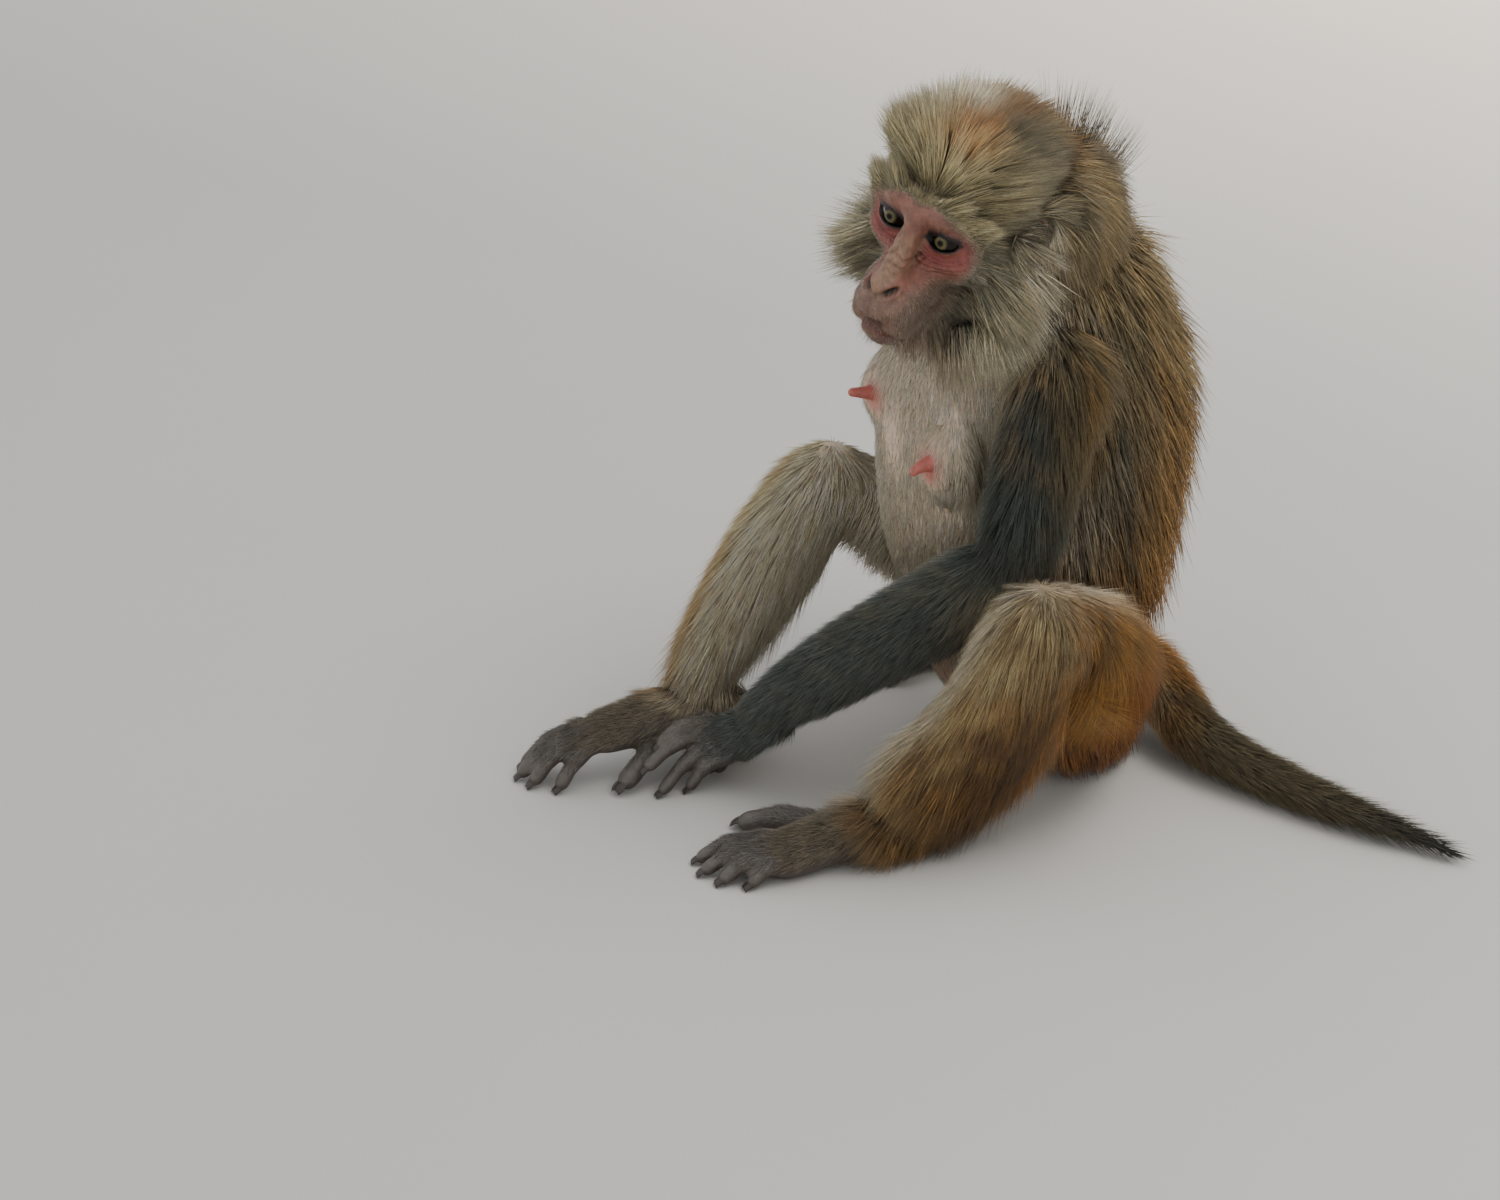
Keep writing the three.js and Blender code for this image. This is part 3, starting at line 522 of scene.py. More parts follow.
def bare_head(points, fold_depth=1.0):
    """Distance to the head's skin: soft union of skull, brows, orbits, cheekbones, muzzle, nose, lips and
    jaw, with the eye sockets and nostrils pressed in, lids laid over the eyeballs and shallow folds."""
    p = np.array(points, float)
    p[:, 0] = np.abs(p[:, 0])
    x, y, z = p.T
    d = oval_distance(p, (0, 16, 12), (35, 45, 33))
    d = soft_min(d, oval_distance(p, (0, -15, -6), (30, 21, 27)), 8)
    d = soft_min(d, oval_distance(p, (21, -14, -14), (14, 17, 13)), 8)
    d = soft_min(d, rod_distance(p, (0, -36, 14), (14, -34, 15), 6), 5)
    d = soft_min(d, rod_distance(p, (14, -34, 15), (27, -27, 10), 5.5), 5)
    d = soft_min(d, rod_distance(p, (29, -24, 8), (27, -24, -10), 6), 5)
    d = soft_min(d, rod_distance(p, (10, -34, -14), (25, -28, -11), 3.5), 5)
    d = soft_min(d, oval_distance(p, (0, -36, -32), (18, 27, 16)), 9)
    d = soft_min(d, rod_distance(p, (0, -35, 8), (0, -55, -21), 6), 7)
    d = soft_min(d, oval_distance(p, (5.2, -58, -25), (5.2, 6.5, 4.6)), 3)
    d = soft_min(d, oval_distance(p, (0, -60, -24), (5.5, 6, 5)), 3)
    d = soft_min(d, oval_distance(p, (0, -55, -35), (15, 13, 9)), 4)
    d = soft_min(d, oval_distance(p, (10.5, -46, -43), (7.5, 15, 11)), 4)
    d = soft_min(d, oval_distance(p, (0, -53, -49), (8.5, 12.5, 6.5)), 2)
    d = soft_min(d, oval_distance(p, (0, -44, -55), (10.5, 14, 9.5)), 4)
    d = soft_min(d, rod_distance(p, (0, -44, -51), (22, 2, -38), 11), 6)
    d = soft_min(d, oval_distance(p, (0, 8, -42), (22, 32, 20)), 10)
    eye = p - np.array(EYE)
    socket = oval_distance(p, (EYE[0] - 0.2, -39, 0.4), (10.6, 9.5, 7.6))
    d = -soft_min(-d, socket, 3)
    ball = np.linalg.norm(eye, axis=1)
    gap = eye_opening(eye[:, 0], eye[:, 2])
    gap = np.where(np.abs(eye[:, 0]) > EYE_SLIT, 2, gap)
    shell = np.maximum(ball - (EYE_RADIUS + LID_THICKNESS), -np.clip(gap, -9, 9) * 0.8)
    d = soft_min(d, shell, 1.1)
    d = np.maximum(d, -(ball - (EYE_RADIUS - 0.7)))
    return d + fold_depth * head_folds(x, y, z) - 1.5 * ease(z, 24, 40)


def mouth_line(wide):
    """Height of the mouth: highest in the middle, drooping round the lower lip to its corners."""
    return -43.8 - 12.5 * ease(wide, 1.5, 12)


def nostril(wide, y, z):
    """1 in the slit of a nostril, which slants up and outwards."""
    across = (wide - 6.6) / 3.3
    return bell((-27.0 + 0.5 * wide - z) / 1.9, 1) * bell(across, 1) * ease(-y, 53, 59)


def head_folds(x, y, z):
    """Shallow grooves, each a bell across its line: the mouth, the cleft under the nose, the nostrils, folds
    over and under the eyes, and fine creases on the lips."""
    fold = 2.4 * bell(z - mouth_line(x), 0.9) * ease(-y, 34, 44) * ease(x, 17, 12)
    fold = fold + 0.7 * bell(x, 1.0) * bell(z + 35, 6) * ease(-y, 50, 60)
    fold = fold + 5.5 * nostril(x, y, z)
    fold = fold - 0.8 * bell(np.hypot(x - 9.2, (z + 22.5) * 0.9), 3.0) * ease(-y, 48, 54)
    over = np.hypot((x - EYE[0]) / 1.5, (z - EYE[2] + 1))
    near = ease(-y, 20, 30)
    fold = fold + 0.6 * bell(over - 9.2, 0.8) * near
    under = ease(-z, -1, 3) * near
    bags = 0.7 * bell(over - 12.2, 0.9) + 0.6 * bell(over - 15.2, 0.9) + 0.5 * bell(over - 18.2, 1)
    fold = fold + under * bags
    fold = fold - under * (0.5 * bell(over - 10.7, 0.9) + 0.35 * bell(over - 13.7, 0.9))
    ray = 0.4 * np.sin(np.arctan2(z - EYE[2], x - EYE[0]) * 26) * bell(over - 13.5, 3) * under
    brow = bell(z - 11.5 - 0.02 * x * x, 0.8) + bell(z - 15 - 0.02 * x * x, 0.8)
    fold = fold + ray * 0.6 + 0.35 * brow * ease(-y, 28, 36)
    side = bell(x - 9.5 + 0.25 * (z + 12), 1.2) * bell(z + 16, 9)
    lip = 0.12 * np.sin(z * 2.6 + 3 * np.sin(x * 0.9)) * np.sin(x * 2.2 + y)
    return fold + 0.6 * side * ease(-y, 34, 42) + lip * ease(-z, 28, 32) * ease(-y, 40, 48)


def head_form(fold_depth):
    """The head's skin on a sphere's grid: rays (cos v, sin v cos u, sin v sin u) from the middle, each run
    in to where bare_head is zero. Rows go from ear to ear, columns round them, closest at the face."""
    row = np.linspace(0, 1, HEAD_ROWS + 1)[1:-1, None]
    column = np.arange(HEAD_COLUMNS)[None] / HEAD_COLUMNS
    v = math.pi * row + 0.225 * np.sin(2 * math.pi * row)
    u = 2 * math.pi * column + 0.55 * np.sin(2 * math.pi * column)
    rays = np.stack([np.cos(v) + 0 * u, np.sin(v) * np.cos(u), np.sin(v) * np.sin(u)], -1).reshape(-1, 3)
    rays = np.vstack([[1, 0, 0], rays, [-1, 0, 0]])
    far = np.full(len(rays), 92.0)
    live = np.arange(len(rays))
    for _ in range(120):
        room = bare_head(np.array(HEAD_MIDDLE) + rays[live] * far[live, None], fold_depth)
        far[live] -= np.clip(room * 0.6, -0.4, 6)
        live = live[np.abs(room) > 0.02]
        if not len(live):
            break
    points = from_head(np.array(HEAD_MIDDLE) + rays * far[:, None])
    return outward(points, grid_faces(HEAD_ROWS - 1, HEAD_COLUMNS))


def outward(points, faces):
    """The faces turned so that the enclosed volume is positive."""
    p = points[faces]
    volume = np.einsum("ij,ij->i", p[:, 0], np.cross(p[:, 1] - p[:, 0], p[:, 2] - p[:, 0])).sum()
    return (points, faces) if volume > 0 else (points, faces[:, ::-1])


def ear_form(sign):
    """An ear's cup: polar grid r, a on an oval outline, a front sheet sunk by 1 - r r with a rolled rim and
    an inner ridge, then a back sheet a little behind it."""
    rows, columns = 22, 44
    r = np.linspace(0, 1, rows)[1:, None]
    a = np.arange(columns)[None] / columns * 2 * math.pi
    outline = 1 + 0.10 * np.sin(a) ** 3 - 0.05 * np.cos(2 * a)
    across = EAR_WIDTH / 2 * r * np.cos(a) * outline
    up = EAR_HEIGHT / 2 * r * np.sin(a) * outline
    bowl = -EAR_DEPTH * (1 - r ** 2) + 0 * a
    front = bowl + 1.5 * bell(r - 0.93, 0.09) + 1.6 * bell(r - 0.62, 0.10) * ease(np.cos(a), -0.5, 0.6)
    back = bowl - 2.4 * (1 - r ** 6)
    sheets = [np.stack([across, depth, up], -1).reshape(-1, 3) for depth in (front, back)]
    sheets[1] = sheets[1].reshape(rows - 1, columns, 3)[::-1].reshape(-1, 3)
    flat = np.vstack([[0, -EAR_DEPTH, 0], *sheets, [0, -EAR_DEPTH - 2.4, 0]])
    lateral = np.array([math.cos(EAR_TURN), math.sin(EAR_TURN), 0])
    facing = np.array([math.sin(EAR_TURN), -math.cos(EAR_TURN), 0])
    upward = np.array([0, 0.12, 1])
    local = np.array(EAR) + flat[:, :1] * lateral + flat[:, 1:2] * facing + flat[:, 2:] * upward
    local[:, 0] *= sign
    return outward(from_head(local), grid_faces(2 * (rows - 1), columns))


# ---- Body ----
def digit_stations(knuckle, tip, radius):
    """A digit arched from its knuckle to the floor, swollen at its joints."""
    t = np.array([-0.25, 0.05, 0.25, 0.48, 0.68, 0.86, 1.0])
    swell = np.array([1.0, 1.02, 0.88, 0.97, 0.80, 0.84, 0.70])
    start, end = np.array(knuckle, float), np.array(tip, float)
    points = start + (end - start) * t[:, None]
    points[:, 2] += DIGIT_ARCH * np.sin(math.pi * np.clip(t, 0, 1))
    return np.column_stack([points, radius * swell, radius * swell * np.linspace(1.04, 0.9, len(t))])


def paw_form(palm, digits, radii, side, wrist, voxel):
    """A hand or foot: palm or sole, digits and a stub of the limb, fused and softened."""
    forms = [loft(palm, side=side, rows=30, sides=24, grow=-0.8), loft(wrist, side=side, rows=20, sides=20)]
    for (knuckle, tip), radius in zip(digits, radii):
        run = np.array(tip, float) - np.array(knuckle, float)
        stations = digit_stations(knuckle, tip, radius)
        forms.append(loft(stations, side=(-run[1], run[0], 0), rows=30, sides=16))
        start = spline(np.asarray(palm, float)[:, :3], np.array([0.62]))[0]
        half_way = (start + stations[0, :3]) / 2
        bone = [(*start, 5, 5), (*half_way, 5.5, 5), (*stations[1, :3], radius, radius * 0.9)]
        forms.append(loft(bone, side=(-run[1], run[0], 0), rows=16, sides=14))
    points, faces = fuse(*join(forms), voxel)
    points = relax(points, faces, 4)
    points[:, 2] = np.maximum(points[:, 2], LOWEST_SKIN)
    return points, faces


def thin(stations, depth):
    """Stations with the coat's depth taken off the radii."""
    s = np.array(stations, float)
    s[:, 3:5] = np.maximum(s[:, 3:5] - depth, s[:, 3:5] * 0.45)
    return s


def trunk_stations():
    """The trunk without its coat, which is deep on the back and thin on the chest and belly."""
    s = np.array(TRUNK, float)
    s[:, 3] = np.maximum(s[:, 3] - 10, 14)
    s[:, 4] = np.maximum(s[:, 4] - 9, 14)
    s[:, 1] -= 4
    return s


def core_form():
    """Trunk, neck, limbs and tail as one softened skin."""
    forms = [
        loft(trunk_stations(), side=TORSO_SIDE, sides=48, rows=60),
        loft(thin(NECK, NECK_COAT), side=TORSO_SIDE, sides=32),
        loft(thin(UPPER_ARM_LEFT, UPPER_ARM_COAT)), loft(thin(UPPER_ARM_RIGHT, UPPER_ARM_COAT)),
        loft(thin(FOREARM_LEFT, FOREARM_COAT), side=(0.5, -0.86, 0)), loft(thin(FOREARM_RIGHT, FOREARM_COAT)),
        loft(thin(THIGH_LEFT, THIGH_COAT)), loft(thin(THIGH_RIGHT, THIGH_COAT)),
        loft(thin(SHANK_LEFT, SHANK_COAT)), loft(thin(SHANK_RIGHT, SHANK_COAT)),
        loft(thin(TAIL[:-1], TAIL_COAT), side=(0, 1, 0), rows=60, sides=20),
    ]
    for centre, radii in BREASTS:
        x, y, z = centre
        forms.append(loft([(x, y + 4, z - radii[2], 6, 6), (x, y - 3, z - 10, radii[0] * 0.8, 12),
                           (x, y - 2, z + 8, radii[0] * 0.7, 10), (x, y + 6, z + radii[2], 6, 6)]))
    points, faces = fuse(*join(forms), CORE_VOXEL)
    points = relax(points, faces, 10)
    points[:, 2] = np.maximum(points[:, 2], LOWEST_SKIN)
    return points, faces


# ---- Where each point of the skin is: nearest limb, place along it and angle round it ----
LIMBS = {
    # name: stations, reference side, +1 where the hair runs along the stations' order
    "trunk": (TRUNK, TORSO_SIDE, -1),
    "neck": (NECK, TORSO_SIDE, -1),
    "upper_arm_left": (UPPER_ARM_LEFT, (1, 0, 0), 1),
    "upper_arm_right": (UPPER_ARM_RIGHT, (1, 0, 0), 1),
    "forearm_left": (FOREARM_LEFT, (0.5, -0.86, 0), 1),
    "forearm_right": (FOREARM_RIGHT, (1, 0, 0), 1),
    "thigh_left": (THIGH_LEFT, (1, 0, 0), 1),
    "thigh_right": (THIGH_RIGHT, (1, 0, 0), 1),
    "shank_left": (SHANK_LEFT, (1, 0, 0), 1),
    "shank_right": (SHANK_RIGHT, (1, 0, 0), 1),
    "tail": (TAIL, (0, 1, 0), 1),
    "hand_left": (PALM_LEFT, (0.8, -0.6, 0), 1),
    "hand_right": (PALM_RIGHT, (1, -0.2, 0), 1),
    "foot_left": (FOOT_LEFT, (1, 0, 0), 1),
    "foot_right": (FOOT_RIGHT, (1, 0, 0), 1),
}
REGIONS = list(LIMBS) + ["head"]
DIGITS = {
    "hand_left": (FINGERS_LEFT, FINGER_RADII), "hand_right": (FINGERS_RIGHT, FINGER_RADII),
    "foot_left": (TOES_LEFT, TOE_RADII), "foot_right": (TOES_RIGHT, TOE_RADII),
}


def place_on_limb(points, stations, side, samples=28):
    """Distance outside the limb, place along it from 0 to 1, angle round it, and its tangent there."""
    s = np.asarray(stations, float)
    t = np.linspace(0, 1, samples)
    centre, tangent, across, deep, radii = path_frame(s, t, side)
    offset = points[:, None] - centre[None]
    along = np.einsum("ijk,jk->ij", offset, tangent)
    u = np.einsum("ijk,jk->ij", offset, across)
    v = np.einsum("ijk,jk->ij", offset, deep)
    size = radii.mean(1)
    reach = np.sqrt((u / radii[:, 0]) ** 2 + (v / radii[:, 1]) ** 2 + (along / size) ** 2)
    best = np.argmin((reach - 1) * size, axis=1)
    row = np.arange(len(points))
    outside = ((reach - 1) * size)[row, best]
    step = np.linalg.norm(s[1:, :3] - s[:-1, :3], axis=1).sum()
    place = np.clip(t[best] + along[row, best] / step, 0, 1)
    return outside, place, np.arctan2(v[row, best], u[row, best]), tangent[best]


def locate(points):
    """For every point: its distance outside each region, its place, angle and flow there, and its digit."""
    outside = np.full((len(points), len(REGIONS)), 1e3)
    place = np.zeros((len(points), len(REGIONS)))
    angle = np.zeros((len(points), len(REGIONS)))
    flow = np.zeros((len(points), len(REGIONS), 3))
    digit = np.zeros((len(points), len(REGIONS)))
    for k, name in enumerate(LIMBS):
        stations, side, sense = LIMBS[name]
        outside[:, k], place[:, k], angle[:, k], tangent = place_on_limb(points, stations, side)
        flow[:, k] = tangent * sense
        for number, (pair, radius) in enumerate(zip(*DIGITS.get(name, ((), ())))):
            run = np.array(pair[1], float) - np.array(pair[0], float)
            finger = digit_stations(*pair, radius)
            far, where, turn, along = place_on_limb(points, finger, (-run[1], run[0], 0), 9)
            closer = far < outside[:, k]
            outside[closer, k] = far[closer]
            place[closer, k] = 1 + where[closer]
            flow[closer, k] = along[closer]
            angle[closer, k] = turn[closer]
            digit[closer, k] = number
    local = to_head(points)
    near = np.linalg.norm(local, axis=1) < 100
    depth = np.full(len(points), 200.0)
    depth[near] = bare_head(local[near])
    outside[:, -1] = depth - HEAD_COAT
    return outside, place, angle, flow, digit, local, depth


# ---- Palette: display colours of the coat's tips and of bare skin ----
FUR = {
    "crown": "#a0946f", "crown_band": "#a8773f", "streak": "#463f2e", "temple": "#868067", "cheek": "#97907c",
    "ruff": "#d2c6a4", "ruff_shade": "#221c12", "ear_tuft": "#e6dabf", "beard": "#75614c", "nape": "#988a6d",
    "down": "#b09a88", "olive": "#a08b63", "umber": "#a5814f", "gold": "#a97c3e", "rufous": "#99622e",
    "cream": "#efe0c2", "belly": "#efdcb8", "slate": "#4f554d", "arm_brown": "#7a6b4d", "forearm": "#646a63",
    "buff": "#b4905c", "shin": "#dcc490", "knee": "#857c66", "paw": "#7f7561", "digit": "#7a736a",
    "tail": "#6a5f46", "tail_tip": "#383a34", "dark": "#35332c", "brown": "#6b4f2c",
    # a brightened cream: painted sunlight on the far leg
    "sunlit_cream": "#f9e2b5",
}
SKIN = {
    "face": "#7d5040", "face_red": "#84433d", "bridge": "#846650", "muzzle": "#775a4c", "brow": "#7e5547",
    "lip": "#683f38", "chin": "#6a5249", "cheek": "#6e5650", "rim": "#0e0b09", "nostril": "#120b08",
    "ear": "#7b5a4c", "chest": "#d2b8a0", "teat": "#ab574d", "thigh": "#b08f7d", "seat": "#a05a4e",
    "paw": "#524b44", "pad": "#473d37",
}
FUR = {name: colour(code) for name, code in FUR.items()}
SKIN = {name: colour(code) for name, code in SKIN.items()}


def face_edge(z):
    """Half width of the bare face at a height in the head's axes."""
    return np.interp(z, [-62, -50, -36, -28, -24, -20, -14, -6, 7, 12, 17, 19.5, 21, 22],
                     [8, 18, 23, 25, 26, 28, 32, 33.5, 32, 27, 21.5, 16, 8, 0])


def head_plan(local, normal):
    """Direction, length, lift, width, density and colours of the head's coat, and its bare skin."""
    x, y, z = local.T
    side = np.sign(x + 1e-9)
    wide = np.abs(x)
    noise = waves(local, 14, 3)
    ragged = waves(local, 5, 71)
    peak = 15 * ease(wide, 11, 0) * ease(z, 6, 17)
    outside = wide - face_edge(z) + peak + 1.2 * noise + 0.8 * ragged
    outside = outside + 5 * ease(z, 21, 26) + 14 * ease(y, -22, -10)
    away = unit(local - np.array([0, -50, 4]))
    rear = ease(y, 22, 52)
    away += np.stack([0.35 * side * rear, 0.3 * ease(y, 10, 50), -0.45 * rear], 1)
    away += np.stack([0.5 * side * ease(wide, 5, 20) * ease(z, 12, 32), 0 * x, 0 * x], 1)
    temple = np.linalg.norm(np.stack([wide - 21, (y + 17) / 1.3, (z - 26) / 1.3], 1), axis=1)
    brow_side = bell(temple, 16) * mix(0.35, 1, ease(-x, -8, 8))
    away += np.stack([1.1 * side * brow_side, 0 * x, 0.5 * brow_side], 1)
    away -= normal * np.einsum("ij,ij->i", away, normal)[:, None]
    away = unit(away)
    ruff = ease(wide, 17, 28) * ease(-z, 5, 24) * ease(y, -34, -20) * ease(outside, 2, 10)
    beard = ease(-z, 45, 53) * ease(y, -50, -40)
    jowl = beard * ease(-y, 0, 20)
    ruff = np.maximum(ruff, beard) * (1 - ease(y, 34, 50) * 0.7)
    drop = 0.6 - 0.3 * ease(y, 5, 25) + 0.5 * ease(-z, 42, 58)
    spread = 0.85 * side * ease(wide, 2, 16) * (1 - 0.5 * jowl)
    flare = unit(np.stack([spread, -0.15 + 0.7 * ease(y, 0, 25), -drop], 1))
    crown = ease(z, 18, 32)
    length = 2.2 + 12 * ease(outside, 0, 9) + 6 * ease(outside, 7, 20) + 5 * crown + 14 * ease(y, 15, 48)
    length = np.minimum(length, 35) + 10 * bell(np.hypot(x + 9, y - 5), 8) * crown
    length = length + 12 * brow_side
    low = ease(-z, 28, 50) * ease(y, -20, 0)
    long_ruff = 43 + 9 * ease(x, 0, 25) + 7 * waves(local, 18, 51) + 6 * low - 9 * jowl
    length = mix(length, long_ruff, ruff)
    front_crown = (0.04 + 0.08 * ease(wide, 10, 24) + 0.12 * ease(-y, 0, 16)) * crown + 0.42 * brow_side
    lift = mix(0.24 + front_crown + 0.14 * rear, 0.4, ruff)
    bare = 1 - ease(outside, -2.5, 3)
    muzzle = ease(-y, 36, 46) * ease(-z, 20, 30)
    length = mix(length, 2.0 + 0 * x, bare)
    sparse = ease(-z, 16, 30) * ease(wide, 9, 20)
    length = mix(length, 4.5 + 0 * x, bare * sparse)
    fringe = 0.5 * ease(outside, -6, -1)
    thin_down = np.maximum(np.maximum(0.7 * sparse, 0.1 * muzzle), fringe)
    density = mix(0.3 + 0.7 * ease(outside, 0, 6), thin_down, bare)
    density *= 1 - 0.35 * ear_inside(local)
    length = mix(length, 12 + 0 * x, ear_inside(local))
    width = 0.28 + 0.5 * ease(length, 3, 30)

    # coat colours
    # A real gold band over the crown, and gold at the back of the head that is painted rim light.
    band_and_rim_light = bell(x - 3, 9) * ease(z, 26, 38) * ease(y, -34, -18)
    band_and_rim_light = np.maximum(band_and_rim_light, bell(y - 50, 20) * ease(z, 0, 25))
    streak = bell(wide - 15 - 0.22 * (y + 25), 3.6) * ease(z, 14, 26) * (0.6 + 0.5 * noise)
    streak = np.maximum(streak, bell(np.hypot(x - 15, (y - 4) / 1.7), 8) * crown)
    fur = mix(FUR["crown"], FUR["crown_band"], np.clip(band_and_rim_light * (0.85 + 0.35 * noise), 0, 1))
    fur = mix(fur, FUR["streak"], np.clip(streak, 0, 1) * 0.65)
    # Painted light and shade: the crown lighter at the front and on the far side, darker at the back of the
    # near side, and lighter at its rear edge as painted rim light.
    fur = fur * (mix(1.3, 0.62, ease(y, -32, 2) * ease(x, -22, 0)) * (1 + 0.5 * ease(y, 25, 50)))[:, None]
    fur = mix(fur, FUR["ear_tuft"], bell(np.hypot(x + 9, y - 5), 9) * crown * 0.8)
    fur = mix(fur, FUR["temple"], ease(wide, 24, 36) * ease(-z, -22, 4))
    fur = mix(fur, FUR["cheek"], ease(-z, 4, 20) * (1 - ease(y, -24, -6)))
    fur = mix(fur, FUR["ruff"], ruff * ease(0.4 * noise + 0.5 * ease(-z, 5, 30) + 0.6, 0.2, 0.9))
    fur = mix(fur, FUR["temple"], ruff * 0.85 * ease(waves(local, 18, 61), -0.7, 0.3) * ease(wide, 50, 36))
    fur = mix(fur, FUR["beard"], 0.9 * jowl * ease(wide, 34, 24))
    # Painted shadow: near-black fur, with short hair, in the hollow between the cheek and the ruff, where
    # shade falls.
    hollow = bell(np.linalg.norm(np.stack([wide - 24.5, y + 14, z + 46], 1), axis=1), 8.5)
    fur = mix(fur, FUR["ruff_shade"], np.clip(hollow * 1.2, 0, 1))
    length = mix(length, 6 + 0 * x, np.clip(hollow * 1.6, 0, 1))
    tuft = bell(np.linalg.norm(np.stack([wide - 45, y - 20, z + 20], 1), axis=1), 14)
    length = np.minimum(length + 14 * np.clip(tuft * 1.3, 0, 1), 54)
    fur = mix(fur, FUR["ear_tuft"], np.clip(tuft * 1.4, 0, 1))
    flare = flare + np.stack([0.6 * side, 0.6 + 0 * y, 0.25 + 0 * z], 1) * tuft[:, None]
    down = mix(FUR["down"], FUR["beard"], np.clip(0.45 * sparse + 0.3 * ragged, 0, 1))
    fur = mix(fur, mix(down, FUR["temple"], ease(z, 8, 16)), bare)

    # bare skin
    eye = np.hypot((wide - EYE[0]) / 1.45, z - EYE[2] + 0.3)
    skin = mix(SKIN["brow"], SKIN["face"], ease(-z, -14, 0))
    skin = mix(skin, SKIN["face_red"], bell(eye - 10.5, 5) * 0.95 * ease(-z, -12, -2) * ease(wide, 5, 9))
    skin = mix(skin, SKIN["bridge"], ease(wide, 8, 3) * ease(-z, -8, 4))
    skin = mix(skin, SKIN["muzzle"], muzzle)
    lower_lip = bell(z - mouth_line(wide) + 2.4, 2.6) * ease(-y, 40, 48) * ease(wide, 15, 10)
    skin = mix(skin, SKIN["lip"], lower_lip)
    # Painted shade in the crease of the mouth: a dark line of lip colour.
    skin = mix(skin, SKIN["lip"] * 0.3, bell(z - mouth_line(wide), 1.2) * ease(-y, 24, 36))
    skin = mix(skin, SKIN["chin"], ease(-z, 53, 57))
    skin = skin * (1 + 0.14 * waves(local, 7, 81) + 0.1 * waves(local, 3.2, 82))[:, None]
    skin = mix(skin, SKIN["cheek"], ease(wide, 15, 24) * ease(-z, 22, 34) * 0.8)
    # Painted shadow on the skin in the same hollow.
    skin = mix(skin, FUR["ruff_shade"] * 0.5, np.clip(hollow * 1.4, 0, 1))
    above = ease(z - EYE[2], 0, 4)
    rim = 1 - ease(lid_gap(local), 0.4 + 0.7 * above, 1.4 + 1.2 * above)
    skin = mix(skin, SKIN["rim"], rim * ease(-y, 24, 30) * ease(wide, 4.5, 6.5))
    # Painted shade inside the nostril slits.
    skin = mix(skin, SKIN["nostril"], ease(nostril(wide, y, z), 0.2, 0.6))
    skin = mix(skin, SKIN["ear"], ear_inside(local))
    bare_share = np.clip(np.maximum(bare, ear_inside(local)), 0, 1)
    skin = mix(fur * 0.6, skin, bare_share)
    wander = np.stack([waves(local, 24, 41 + k) for k in range(3)], 1) * (0.08 + 0.2 * ruff)[:, None]
    direction = unit(mix(away, flare, ruff * 0.9) + wander)
    return direction @ HEAD_AXES.T, length, lift, width, density, fur, skin


def lid_gap(local):
    """Distance outside the almond of the eye's opening, in millimetres across the face."""
    across = np.abs(local[:, 0]) - EYE[0]
    return np.maximum(eye_opening(across, local[:, 2] - EYE[2]), np.abs(across) - EYE_SLIT)


def ear_inside(local):
    """1 in the cup of an ear, 0 elsewhere."""
    q = np.stack([np.abs(local[:, 0]), local[:, 1], local[:, 2]], 1) - np.array(EAR)
    across = q[:, 0] * math.cos(EAR_TURN) + q[:, 1] * math.sin(EAR_TURN)
    facing = q[:, 0] * math.sin(EAR_TURN) - q[:, 1] * math.cos(EAR_TURN)
    oval = np.hypot(across / (EAR_WIDTH / 2), q[:, 2] / (EAR_HEIGHT / 2))
    return ease(oval, 1.06, 0.9) * ease(facing, -9, -7) * ease(across, -4, 0)


